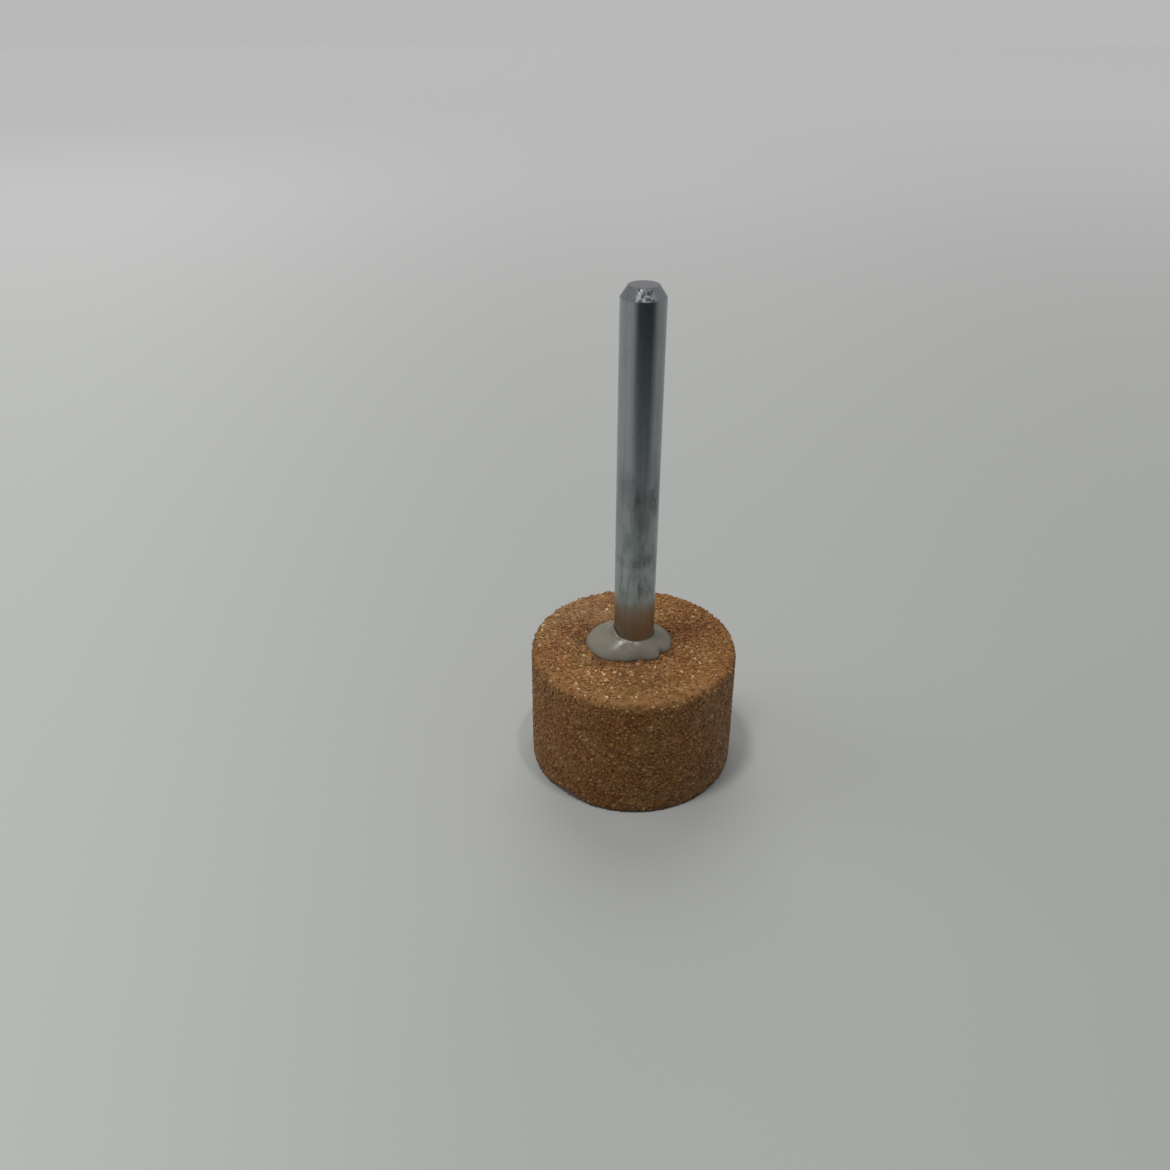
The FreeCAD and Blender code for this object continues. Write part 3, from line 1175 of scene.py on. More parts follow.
@dataclass
class SteelShank:
    """The plated rod: coned tip, plain gripping length, and the knurled end in the wheel.

    Attributes:
        radius: Radius of the gripping length.
        tip: Height of the end face.
        cone_height: Height of the lead-in cone.
        face_radius: Radius of the end face.
        edge_radius: Rounding of the cone's two edges.
        neck: Height at which the rod starts to narrow inside the cement.
        neck_run: Height over which it narrows.
        spigot_radius: Radius of the end that the cement holds.
        heel: Height of the embedded end.
        heel_leg: Bevel on the embedded end.
        teeth: Number of knurl grooves.
        tooth_depth: Depth of a groove.
        knurl_top: Height at which the knurl ends.
        columns: Points round the rod.
    """

    radius: float = 3.0
    tip: float = 73.8
    cone_height: float = 1.5
    face_radius: float = 2.0
    edge_radius: float = 0.22
    neck: float = 22.1
    neck_run: float = 0.6
    spigot_radius: float = 2.84
    heel: float = 7.6
    heel_leg: float = 0.5
    teeth: int = 24
    tooth_depth: float = 0.25
    knurl_top: float = 18.6
    columns: int = 240

    def wall(self, heights: np.ndarray, azimuths: np.ndarray) -> np.ndarray:
        """Radius of the rod below its cone.

        The full radius eases down to the spigot's below the neck. The knurl is a row of
        V grooves: the depth times the distance from the middle between two grooves.

        Args:
            heights: Heights in millimetres.
            azimuths: Directions in radians, in a layout that broadcasts with the heights.

        Returns:
            The radius at each height and direction.
        """
        share = np.clip((self.neck - heights) / self.neck_run, 0, 1)
        plain = self.radius + (self.spigot_radius - self.radius) * share
        wave = np.abs((azimuths * self.teeth / math.tau) % 1.0 - 0.5) * 2
        groove = self.tooth_depth * np.clip(wave * 2 - 1, 0, 1)
        return plain - np.where(heights < self.knurl_top, groove, 0)

    def edge(self, corner: tuple[float, float], before: float, after: float) -> np.ndarray:
        """A rounded edge in the profile: an arc that touches both of the lines there.

        The arc turns from one line's slope to the other's about a centre inside the
        metal, at the edge radius from both lines.

        Args:
            corner: Radius and height where the lines would meet.
            before: Direction of the line before the corner in degrees, 0 outwards.
            after: Direction of the line after it.

        Returns:
            Radius and height of the arc's points, two to a row.
        """
        bend = math.radians(before - after)
        back = self.edge_radius * math.tan(bend / 2)
        along = math.radians(before)
        start = np.array(corner) - back * np.array([math.cos(along), math.sin(along)])
        inward = math.radians(before - 90)
        centre = start + self.edge_radius * np.array([math.cos(inward), math.sin(inward)])
        angles = np.linspace(inward + math.pi, inward + math.pi - bend, 6)
        return centre + self.edge_radius * np.stack([np.cos(angles), np.sin(angles)], -1)

    def surface(self) -> Surface:
        """The whole rod, from the pole on the end face down to the pole on the heel.

        Rings follow the end face, the two rounded edges of the cone, the straight wall
        with the knurl, and the bevelled heel.

        Returns:
            The closed surface.
        """
        azimuths = np.arange(self.columns) * math.tau / self.columns
        shoulder = self.tip - self.cone_height
        slope = -math.degrees(math.atan2(self.cone_height, self.radius - self.face_radius))
        face_radii = np.linspace(0.3, 1.7, 6)
        face = np.stack([face_radii, np.full_like(face_radii, self.tip)], -1)
        top_edge = self.edge((self.face_radius, self.tip), 0, slope)
        low_edge = self.edge((self.radius, shoulder), slope, -90)
        ends = np.concatenate([face, top_edge, low_edge])
        wall_heights = np.concatenate(
            [
                np.linspace(shoulder - 0.6, self.neck + 0.1, 56),
                np.linspace(self.neck, self.neck - self.neck_run, 5),
                np.linspace(self.neck - self.neck_run - 0.4, self.knurl_top + 0.02, 4),
                np.linspace(self.knurl_top - 0.02, self.heel + self.heel_leg, 8),
            ]
        )
        walls = self.wall(wall_heights[:, None], azimuths[None, :])
        heel_radii = walls[-1:] - self.heel_leg
        end_radii = np.repeat(ends[:, :1], self.columns, 1)
        radii = np.concatenate([end_radii, walls, heel_radii, heel_radii * 0.5])
        heights = np.concatenate([ends[:, 1], wall_heights, [self.heel, self.heel]])
        heights = np.repeat(heights[:, None], self.columns, 1)
        return turned_surface(radii, heights, azimuths, (self.tip, self.heel), {})

    def build(self, effects: SharedEffects) -> None:
        """Places the rod in the scene with its plating.

        Args:
            effects: The shared node groups.
        """
        plating = ZincPlating(self.radius, self.tip, self.tip - self.cone_height)
        finish = plating.material(effects)
        piece = place_piece("plated_shank", self.surface(), finish, True)
        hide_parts("steel_shank")


@dataclass
class BondingCement:
    """The cement: the fill of the bore and the uneven collar that squeezed out on top.

    Attributes:
        shank: The rod that it holds.
        base: Height of the wheel's top face.
        sunk: How far the foot reaches down into the grain.
        bore_radius: Radius of the bore that it fills.
        bore_floor: Height of the bore's floor.
        centre: Middle of the oval foot.
        half_sizes: Half length and half width of the oval foot.
        crown: Height that the mound's slopes would meet at, above the wheel.
        climb: Azimuth, width, rise and reach of the smear up the rod.
        lobes: Azimuth, width and share of each place where the foot is wider or narrower.
        nick: Azimuth, width and depth of the break in the edge.
        cracks: Azimuth, width and depth of each crack along the rod.
        crack_width: How far out from the rod the cracks reach.
        beads: Azimuth, distance from the axis, radius and height of small lumps.
        rings: Rings of points from the rod to the foot.
        columns: Points round the collar.
    """

    shank: SteelShank
    base: float = 20.1
    sunk: float = 0.35
    bore_radius: float = 3.4
    bore_floor: float = 7.1
    centre: tuple[float, float] = (-0.675, 0.1)
    half_sizes: tuple[float, float] = (6.575, 5.3)
    crown: float = 3.73
    climb: tuple[float, float, float, float] = (190.0, 30.0, 0.72, 0.7)
    lobes: tuple[tuple[float, float, float], ...] = (
        (-137.0, 15.0, 0.06),
        (-83.0, 14.0, -0.07),
        (-54.0, 9.0, 0.05),
        (48.0, 22.0, 0.05),
        (117.0, 16.0, 0.05),
    )
    nick: tuple[float, float, float] = (-39.0, 6.0, 0.52)
    cracks: tuple[tuple[float, float, float], ...] = ((203.0, 26.0, 0.4), (-14.0, 16.0, 0.22))
    crack_width: float = 0.2
    beads: tuple[tuple[float, float, float, float], ...] = (
        (-131.0, 3.36, 0.2, 0.13),
        (-98.0, 3.2, 0.16, 0.08),
        (-20.0, 3.4, 0.2, 0.12),
        (-118.0, 3.9, 0.4, 0.05),
    )
    rings: int = 56
    columns: int = 300

    def oval_share(self, radii: np.ndarray, azimuths: np.ndarray) -> np.ndarray:
        """How far a point is from the oval's middle, as a share of the oval's reach.

        It is the root of the summed squares of the offsets, each over its half size.

        Args:
            radii: Distances from the shank's axis.
            azimuths: Directions in radians.

        Returns:
            Shares, 1 on the oval itself.
        """
        across = (radii * np.cos(azimuths) - self.centre[0]) / self.half_sizes[0]
        along = (radii * np.sin(azimuths) - self.centre[1]) / self.half_sizes[1]
        return np.sqrt(across**2 + along**2)

    def foot(self, azimuths: np.ndarray) -> np.ndarray:
        """Distance from the shank's axis to the collar's foot.

        The ray along each azimuth is cut with the oval by solving its quadratic, and the
        result is scaled by 1 plus the lobes.

        Args:
            azimuths: Directions in radians.

        Returns:
            The foot's distance for each direction.
        """
        east, north = np.cos(azimuths) / self.half_sizes[0], np.sin(azimuths) / self.half_sizes[1]
        shift = np.array(self.centre) / np.array(self.half_sizes)
        square = east**2 + north**2
        half = east * shift[0] + north * shift[1]
        oval = (half + np.sqrt(half**2 - square * ((shift**2).sum() - 1))) / square
        lobed = sum(share * bump_at(azimuths, turn, width) for turn, width, share in self.lobes)
        return oval * (1 + lobed)

    def mound(self, shares: np.ndarray) -> np.ndarray:
        """Height of the mound: crown times (1 - share)^0.6, which is upright at the foot."""
        return self.crown * np.clip(1 - shares, 0, 1) ** 0.6

    def collar(self, azimuths: np.ndarray) -> tuple[np.ndarray, np.ndarray]:
        """Rings of the collar from the rod out to the foot.

        Rings run from the rod to the foot, closer and closer as the slope steepens, and
        the last one goes straight down into the grain. The nick takes its depth off the
        outer rings, the climb raises the rings near the rod, the cracks lower the
        innermost ones, and the beads are small bumps.

        Args:
            azimuths: Directions in radians.

        Returns:
            Radii and heights, a row for each ring.
        """
        foot = self.foot(azimuths)
        steps = 1 - (1 - np.linspace(0, 1, self.rings)[:, None]) ** 1.8
        whole = self.shank.radius + (foot - self.shank.radius) * steps
        turn, width, depth = self.nick
        radii = whole - depth * bump_at(azimuths, turn, width) * steps**5
        shares = self.oval_share(whole, azimuths)
        lobed = 1 + (self.oval_share(foot, azimuths) - 1) * steps**2
        heights = self.base + self.mound(shares / lobed)
        ripple = 0.05 * np.sin(5 * azimuths + 0.7) + 0.04 * np.sin(9 * azimuths + 2.1)
        heights = heights + ripple * np.sin(math.pi * steps)
        gap = radii - self.shank.radius
        for turn, width, depth in self.cracks:
            crack = np.exp(-((gap / self.crack_width) ** 2))
            heights = heights - depth * bump_at(azimuths, turn, width) * crack
        turn, width, rise, spread = self.climb
        heights = heights + rise * bump_at(azimuths, turn, width) * np.exp(-((gap / spread) ** 2))
        for turn, reach, size, rise in self.beads:
            east, north = reach * math.cos(math.radians(turn)), reach * math.sin(math.radians(turn))
            across, along = radii * np.cos(azimuths) - east, radii * np.sin(azimuths) - north
            heights = heights + rise * np.exp(-(across**2 + along**2) / size**2)
        buried = np.full((1, self.columns), self.base - self.sunk)
        return np.concatenate([radii, radii[-1:]]), np.concatenate([heights, buried])

    def surface(self) -> Surface:
        """The whole casting: up the rod's wall from the heel, over the collar, under it,
        and down the bore to its floor.

        The inner wall is the rod's own wall, so that the two touch all the way.

        Returns:
            The closed surface, marked with dust and painted shade at its foot and in the cracks.
        """
        azimuths = np.arange(self.columns) * math.tau / self.columns
        rod = self.shank
        collar_radii, collar_heights = self.collar(azimuths)
        contact = collar_heights[0]
        levels = np.concatenate(
            [
                np.linspace(rod.heel + rod.heel_leg, rod.knurl_top - 0.02, 8),
                np.linspace(rod.knurl_top + 0.02, rod.neck - rod.neck_run, 4),
            ]
        )
        steady = np.repeat(levels[:, None], self.columns, 1)
        rising = rod.neck + (contact - rod.neck) * np.linspace(0, 0.9, 4)[:, None]
        inner_heights = np.concatenate([steady, rising])
        inner_radii = rod.wall(inner_heights, azimuths[None, :])
        heel_radii = inner_radii[:1] - rod.heel_leg
        under = self.base - self.sunk
        bore = np.linspace(under - 0.1, self.bore_floor, 5)
        radii = np.concatenate(
            [
                heel_radii * 0.5,
                heel_radii,
                inner_radii,
                collar_radii,
                np.full((len(bore), self.columns), self.bore_radius),
                np.full((1, self.columns), self.bore_radius * 0.5),
            ]
        )
        heights = np.concatenate(
            [
                np.full((2, self.columns), rod.heel),
                inner_heights,
                collar_heights,
                np.repeat(bore[:, None], self.columns, 1),
                np.full((1, self.columns), self.bore_floor),
            ]
        )
        dust_and_painted_light = np.zeros_like(radii)
        first = 2 + len(inner_radii)
        dust_and_painted_light[first : first + len(collar_radii)] = self.dust_and_painted_light(azimuths, collar_radii, collar_heights)
        return turned_surface(radii, heights, azimuths, (rod.heel, self.bore_floor), {"dust_and_painted_light": dust_and_painted_light})

    def dust_and_painted_light(self, azimuths: np.ndarray, radii: np.ndarray, heights: np.ndarray) -> np.ndarray:
        """Brown stone dust and painted shade on the collar: patches low down, all the cracks.

        Args:
            azimuths: Direction of each column in radians.
            radii: Radii of the collar's rings.
            heights: Their heights.

        Returns:
            A share from 0 to 1 for each point.
        """
        low = np.clip(1 - (heights - self.base) / 0.4, 0, 1)
        places = np.stack([radii * np.cos(azimuths), radii * np.sin(azimuths), heights], -1)
        patchy = smooth_noise(places.reshape(-1, 3), 0.7, Seed.CEMENT_DUST_AND_SHADE).reshape(radii.shape)
        # All of the cracks darkened with painted shade
        cracked = sum(bump_at(azimuths, turn, 1.6 * width) for turn, width, _ in self.cracks)
        beside = np.exp(-(((radii - self.shank.radius) / (0.8 * self.crack_width)) ** 2))
        crack = np.clip(cracked, 0, 1) * beside
        return np.maximum(low * np.clip(patchy * 2 - 0.5, 0, 1), crack)

    def build(self, effects: SharedEffects) -> None:
        """Places the cement in the scene with its finish.

        Args:
            effects: The shared node groups.
        """
        finish = SetCement().material(effects)
        piece = place_piece("cement_collar", self.surface(), finish, True)
        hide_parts("bonding_cement")


@dataclass
class GrindingWheel:
    """The pressed abrasive wheel: its grainy skin with the wear, the dark specks and
    painted shade, and the pale dust and painted sheen on it.

    Attributes:
        cement: The cement whose foot lies on the wheel.
        base_radius: Radius at the base.
        top_radius: Radius at the top face, less by the mould's draft.
        height: Height of the wheel.
        rim_radius: Rounding of the worn top rim.
        bevel: Bevel along the base rim.
        inset: How far the mean surface lies inside the outermost grains.
        chip: Azimuth, half length, depth and height of the chip in the base rim.
        grain: Width of a grain.
        dome: Height of a grain.
        swell: Height of the slow swells under the grains.
        pore_share: Share of the grains that are missing.
        pore_depth: How much lower the surface is where a grain is missing.
        deepest: Lowest place of the surface, from its mean place.
        front: Azimuth of the wheel's front in degrees.
        columns: Points round the wheel.
    """

    cement: BondingCement
    base_radius: float = 15.85
    top_radius: float = 15.5
    height: float = 20.1
    rim_radius: float = 0.9
    bevel: float = 0.35
    inset: float = 0.13
    chip: tuple[float, float, float, float] = (229.0, 4.2, 1.1, 0.9)
    grain: float = 0.42
    dome: float = 0.13
    swell: float = 0.12
    pore_share: float = 0.11
    pore_depth: float = 0.14
    deepest: float = -0.3
    front: float = -95.0
    columns: int = 440

    def profile(self) -> tuple[np.ndarray, np.ndarray, np.ndarray]:
        """Half of the wheel's cross-section, from the bore's floor over the top, down
        the wall and in under the base.

        Returns:
            Radius and height of each ring, the direction that its surface faces as a
            radial and an upward part, and how rough the grain is there.
        """
        rim = self.rim_radius
        inner = self.top_radius - rim
        turns = np.linspace(0, math.pi / 2, 10)[1:-1]
        wall_top, wall_foot = self.height - rim, self.bevel
        wall = np.linspace(wall_top, wall_foot, 84)
        bevel_radii = self.base_radius - self.bevel * np.array([0.5, 1.0])
        bevel_heights = self.bevel * np.array([0.5, 0])
        bore = self.cement.bore_radius
        floor = self.cement.bore_floor
        parts = [
            (np.array([bore * 0.5, bore]), np.array([floor, floor]), (0, 1), 0.0),
            (np.full(8, bore), np.linspace(floor + 1.5, self.height - 0.2, 8), (-1, 0), 0.0),
            (np.linspace(bore + 0.1, inner, 52), np.full(52, self.height), (0, 1), 1.0),
            (inner + rim * np.sin(turns), wall_top + rim * np.cos(turns), None, 0.8),
            (self.drafted(wall), wall, (1, 0), 1.0),
            (bevel_radii, bevel_heights, (1, 0), 0.0),
            (np.linspace(14.3, 1.0, 12), np.zeros(12), (0, -1), 0.0),
        ]
        rings, facing, rough = [], [], []
        for radius, height, way, weight in parts:
            rings.append(np.stack([radius, height], -1))
            if way is None:
                facing.append(np.stack([np.sin(turns), np.cos(turns)], -1))
            else:
                facing.append(np.tile(way, (len(radius), 1)))
            rough.append(np.full(len(radius), weight))
        return np.concatenate(rings), np.concatenate(facing), np.concatenate(rough)

    def drafted(self, heights: np.ndarray) -> np.ndarray:
        """Radius of the wall at each height, less towards the top by the mould's draft."""
        return self.base_radius - (self.base_radius - self.top_radius) * heights / self.height

    def chip_limit(self, azimuths: np.ndarray, heights: np.ndarray) -> np.ndarray:
        """Largest radius that the chip leaves.

        The chip is a quarter of an ellipsoid on the base rim: the base radius less the
        depth times the root of 1 - (distance along the rim / half length)^2 -
        (height / chip height)^2.

        Args:
            azimuths: Directions in radians.
            heights: Heights in millimetres.

        Returns:
            The limit for each point.
        """
        turn, half_length, depth, tall = self.chip
        along = np.radians(degrees_from(azimuths, turn)) * self.base_radius / half_length
        inside = np.clip(1 - along**2 - (heights / tall) ** 2, 0, 1)
        return self.base_radius - depth * np.sqrt(inside)

    def worn(self, points: np.ndarray) -> np.ndarray:
        """How far the grain is rubbed smooth: a ragged band along the top rim, widest
        at the front and at the back left, that reaches over the rim's rounding.

        Args:
            points: Places in millimetres.

        Returns:
            A share from 0 to 1 for each point.
        """
        radius = np.hypot(points[:, 0], points[:, 1])
        azimuth = np.arctan2(points[:, 1], points[:, 0])
        fine = 0.6 * (smooth_noise(points, 0.6, Seed.FINE_WEAR) - 0.5)
        ragged = smooth_noise(points, 1.5, Seed.WEAR) - 0.5 + fine
        behind = bump_at(azimuth, 125, 40)
        wide = 1.6 + 1.2 * bump_at(azimuth, self.front, 60) + 1.6 * behind
        reach = self.top_radius - wide + 2.6 * ragged
        above = np.clip((points[:, 2] - (self.height - 1.2) + 1.3 * ragged) / 0.6, 0, 1)
        rubbed = 0.35 + 0.55 * bump_at(azimuth, self.front, 75) + 0.35 * behind
        return np.clip((radius - reach) / 1.2, 0, 1) * above * rubbed

    def relief(self, points: np.ndarray, rough: np.ndarray) -> np.ndarray:
        """How far the surface stands out from its mean place.

        Each grain is a low dome, one in nine is missing and leaves a pore, and slow
        swells a couple of grains wide run under them. Where the surface is worn most,
        about half of the relief is left.

        Args:
            points: Places in millimetres.
            rough: How rough the grain is, from 0 to 1.

        Returns:
            Height in millimetres for each point.
        """
        gap, grain = packed_grains(points, self.grain, Seed.GRAINS)
        dome = np.sqrt(np.clip(1 - (gap / 0.8) ** 2, 0, 1))
        swell = smooth_noise(points, 1.1, Seed.SWELLS) - 0.5
        missing = grain < self.pore_share
        height = self.dome * (dome - 0.55) + self.swell * swell - self.pore_depth * missing
        height = np.clip(height, self.deepest, self.inset)
        return rough * height * (1 - 0.6 * self.worn(points))

    def surface(self) -> Surface:
        """The wheel's own skin: its profile turned all the way round and roughened.

        Each point moves along the way it faces by the relief less the inset, and no
        point is left inside the chip.

        Returns:
            The closed surface, marked with its wear, its dark specks and painted shade, and
            its pale dust and painted sheen.
        """
        azimuths = np.arange(self.columns) * math.tau / self.columns
        rings, facing, rough = self.profile()
        shape = (len(rings), self.columns)
        radii = np.repeat(rings[:, :1], self.columns, 1)
        heights = np.repeat(rings[:, 1:], self.columns, 1)
        turned = np.broadcast_to(azimuths, shape)
        places = np.stack([radii * np.cos(turned), radii * np.sin(turned), heights], -1)
        places = places.reshape(-1, 3)
        weight = np.repeat(rough, self.columns)
        shift = (self.relief(places, weight) - self.inset * (weight > 0)).reshape(shape)
        radii = radii + shift * facing[:, :1]
        heights = heights + shift * facing[:, 1:]
        radii = np.minimum(radii, self.chip_limit(turned, heights))
        marks = {
            "worn": self.worn(places).reshape(shape),
            "specks_and_shade": self.specks_and_shade(places).reshape(shape),
            "dust_and_painted_light": self.dust_and_painted_light(places).reshape(shape),
        }
        return turned_surface(radii, heights, azimuths, (self.cement.bore_floor, 0.0), marks)

    def specks_and_shade(self, points: np.ndarray) -> np.ndarray:
        """Dark specks round the collar's foot, partly painted shade, a painted contact
        shadow along the base's edge, and a slight darkening of the wall towards the base.

        Args:
            points: Places in millimetres.

        Returns:
            A share from 0 to 1 for each point.
        """
        azimuth = np.arctan2(points[:, 1], points[:, 0])
        beyond = np.hypot(points[:, 0], points[:, 1]) - self.cement.foot(azimuth)
        # Dark specks round the collar's foot, partly painted shade, in a ring widest on the left
        specks = np.clip(smooth_noise(points, 0.45, Seed.DARK_SPECKS) * 3 - 1.1, 0, 1)
        width = 1.0 + 1.2 * bump_at(azimuth, 205, 45)
        ring = np.exp(-((np.clip(beyond, 0, None) / width) ** 2)) * (points[:, 2] > self.height - 1)
        # Painted contact shadow: a dark, ragged edge along the base
        ragged = 0.35 * (smooth_noise(points, 0.7, Seed.BASE_EDGE) - 0.5)
        edge = np.clip((0.55 + ragged - points[:, 2]) / 0.35, 0, 1)
        low = 0.16 * np.clip(1 - points[:, 2] / 11, 0, 1)
        return np.clip(0.7 * ring * specks + 0.65 * edge + low, 0, 1)

    def dust_and_painted_light(self, points: np.ndarray) -> np.ndarray:
        """A pale film on the wall but for its front, pale grinding dust in patches on its
        right and a crumb low at the front, and on the face a painted sheen, most at the
        back left.

        Args:
            points: Places in millimetres.

        Returns:
            A share from 0 to 1 for each point.
        """
        azimuth = np.arctan2(points[:, 1], points[:, 0])
        below = points[:, 2] < self.height - 1
        patches = np.clip(smooth_noise(points, 0.8, Seed.STONE_DUST) * 2.5 - 1.2, 0, 1)
        film = 0.09 * (1 - bump_at(azimuth, self.front, 55))
        side = (film + 0.3 * bump_at(azimuth, -32, 30) * patches) * below
        crumb = bump_at(azimuth, -83, 3) * np.exp(-(((points[:, 2] - 0.9) / 0.6) ** 2))
        # Painted sheen on the face, a little all over and most towards the back left
        behind = (0.025 + 0.12 * bump_at(azimuth, 128, 38)) * ~below
        return np.clip(side + behind + 0.8 * crumb * patches, 0, 1)

    def build(self, effects: SharedEffects) -> None:
        """Places the wheel's skin in the scene.

        Args:
            effects: The shared node groups.
        """
        finish = FusedGrain().material(effects)
        skin = place_piece("wheel_body", self.surface(), finish, True)
        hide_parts("grinding_stone")


@dataclass
class LooseCrystals:
    """The crystals of the abrasive that stand out of the wheel's skin, half sunk in it.

    Attributes:
        wheel: The wheel that they lie on.
        per_mm2: How many lie on a square millimetre of the wall; the face has half as
            many again.
        least_radius: Least distance from the axis of those on the face.
        width: Median width of a crystal.
        width_spread: Spread of the widths' logarithm.
        width_limits: Smallest and largest width.
        sides: Least and greatest length of a crystal's sides, as shares of its width.
        rise: Least and greatest distance of its middle out from the wheel's surface, as
            shares of its width.
        proud: How far a corner may stand out past the wall, and past the face.
        worn_away: Share that is missing where the wheel is fully worn.
        coarse_patch: Place and half sizes, east and north, of the patch on the face
            with more large pale crystals.
        palest: Grain value from which a crystal is pale.
    """

    wheel: GrindingWheel
    per_mm2: float = 6.4
    least_radius: float = 4.3
    width: float = 0.34
    width_spread: float = 0.27
    width_limits: tuple[float, float] = (0.17, 0.6)
    sides: tuple[float, float] = (0.65, 1.15)
    rise: tuple[float, float] = (-0.48, -0.14)
    proud: tuple[float, float] = (0.08, 0.06)
    worn_away: float = 0.85
    coarse_patch: tuple[float, float, float, float] = (-3.9, -8.0, 3.2, 1.7)
    palest: float = 0.965

    def on_face(self, rng: np.random.Generator) -> tuple[np.ndarray, ...]:
        """Random places on the face and its rim, clear of the collar.

        The radius is the root of an even draw between the squared limits, so that rings
        of one width get crystals by their area.

        Args:
            rng: The seeded generator.

        Returns:
            Azimuth, radius and height of each place, and the angle in radians by which
            the surface there leans out from level.
        """
        wheel = self.wheel
        inner, reach = self.least_radius, wheel.top_radius - 0.25
        count = int(math.pi * (reach**2 - inner**2) * self.per_mm2 * 1.5)
        azimuth = rng.uniform(-math.pi, math.pi, count)
        radius = np.sqrt(rng.uniform(inner**2, reach**2, count))
        clear = radius > wheel.cement.foot(azimuth) - 0.05
        azimuth, radius = azimuth[clear], radius[clear]
        over = np.clip(radius - (wheel.top_radius - wheel.rim_radius), 0, None) / wheel.rim_radius
        lean = np.arcsin(np.clip(over, 0, 1))
        height = wheel.height - wheel.rim_radius * (1 - np.cos(lean))
        return azimuth, radius, height, lean

    def on_wall(self, rng: np.random.Generator) -> tuple[np.ndarray, ...]:
        """Random places on the wall, spread evenly over its height and all the way round.

        Args:
            rng: The seeded generator.

        Returns:
            Azimuth, radius and height of each place, and the angle in radians by which
            the surface there leans out from level, which is upright.
        """
        wheel = self.wheel
        top, low = wheel.height - wheel.rim_radius * 0.7, 0.25
        count = int(math.tau * wheel.base_radius * (top - low) * self.per_mm2)
        azimuth = rng.uniform(-math.pi, math.pi, count)
        height = rng.uniform(low, top, count)
        radius = np.minimum(wheel.drafted(height), wheel.chip_limit(azimuth, height))
        return azimuth, radius, height, np.full(count, math.pi / 2)

    def grains(
        self, zone: GrainZone, spots: np.ndarray, rng: np.random.Generator
    ) -> tuple[np.ndarray, np.ndarray]:
        """Tone and width of each crystal.

        Widths are drawn round the median on a scale of logarithms. On the wall the
        palest crystals are a little below it. On the face, a fifth of the crystals in
        the middle of the coarse patch are pale and a quarter wider.

        Args:
            zone: Where the crystals lie.
            spots: Their places.
            rng: The seeded generator.

        Returns:
            The grain value from 0 to 1, and the width.
        """
        count = len(spots)
        grain = rng.uniform(0, 1, count) ** 0.9
        width = self.width * np.exp(rng.normal(0, self.width_spread, count))
        if zone is GrainZone.FACE:
            east, north, half_east, half_north = self.coarse_patch
            across, along = (spots[:, 0] - east) / half_east, (spots[:, 1] - north) / half_north
            picked = rng.uniform(size=count) < 0.2 * np.exp(-(across**2) - along**2)
            width = np.where(picked, width * 1.25, width)
            grain = np.where(picked, 0.985, grain)
        else:
            grain = 0.983 * grain
            width = np.where(grain > self.palest, 0.85 * self.width, width)
        return grain, np.clip(width, *self.width_limits)

    @staticmethod
    def random_turns(count: int, rng: np.random.Generator) -> np.ndarray:
        """Rotation matrices of evenly spread random turns, from unit quaternions.

        Args:
            count: How many.
            rng: The seeded generator.

        Returns:
            One 3 by 3 matrix for each turn.
        """
        quaternion = rng.normal(size=(count, 4))
        w, x, y, z = (quaternion / np.linalg.norm(quaternion, axis=1, keepdims=True)).T
        rows = [
            [1 - 2 * (y * y + z * z), 2 * (x * y - w * z), 2 * (x * z + w * y)],
            [2 * (x * y + w * z), 1 - 2 * (x * x + z * z), 2 * (y * z - w * x)],
            [2 * (x * z - w * y), 2 * (y * z + w * x), 1 - 2 * (x * x + y * y)],
        ]
        return np.stack([np.stack(row, -1) for row in rows], -2)

    def held_in(self, points: np.ndarray) -> np.ndarray:
        """Corners drawn back to the wheel's outline, its face and its base.

        Args:
            points: Corners of the crystals in millimetres.

        Returns:
            The corners, none of them farther out than a crystal may stand proud.
        """
        past_wall, past_face = self.proud
        radius = np.hypot(points[..., 0], points[..., 1])
        drafted = self.wheel.drafted(points[..., 2])
        limit = np.minimum(drafted + past_wall, self.wheel.base_radius)
        pull = np.minimum(1, limit / np.maximum(radius, 1e-6))
        height = np.clip(points[..., 2], 0.02, self.wheel.height + past_face)
        return np.stack([points[..., 0] * pull, points[..., 1] * pull, height], -1)

    def surface(self, zone: GrainZone, seed: int) -> Surface:
        """All of a zone's crystals, fewer where the wheel is worn.

        Each one is a block with its eight corners pushed about, scaled to its width,
        turned at random and sunk in the surface.

        Args:
            zone: The face with its rim, or the wall.
            seed: Seed of the random draws.

        Returns:
            The blocks, marked with their grain, their pale dust and painted sheen, and their
            dark specks and painted shade.
        """
        rng = np.random.default_rng(seed)
        draw = self.on_face if zone is GrainZone.FACE else self.on_wall
        azimuth, radius, height, lean = draw(rng)
        level = np.sin(lean)
        out = np.stack([level * np.cos(azimuth), level * np.sin(azimuth), np.cos(lean)], -1)
        spots = np.stack([radius * np.cos(azimuth), radius * np.sin(azimuth), height], -1)
        kept = rng.uniform(size=len(spots)) > self.worn_away * self.wheel.worn(spots)
        spots, out = spots[kept], out[kept]
        grain, width = self.grains(zone, spots, rng)

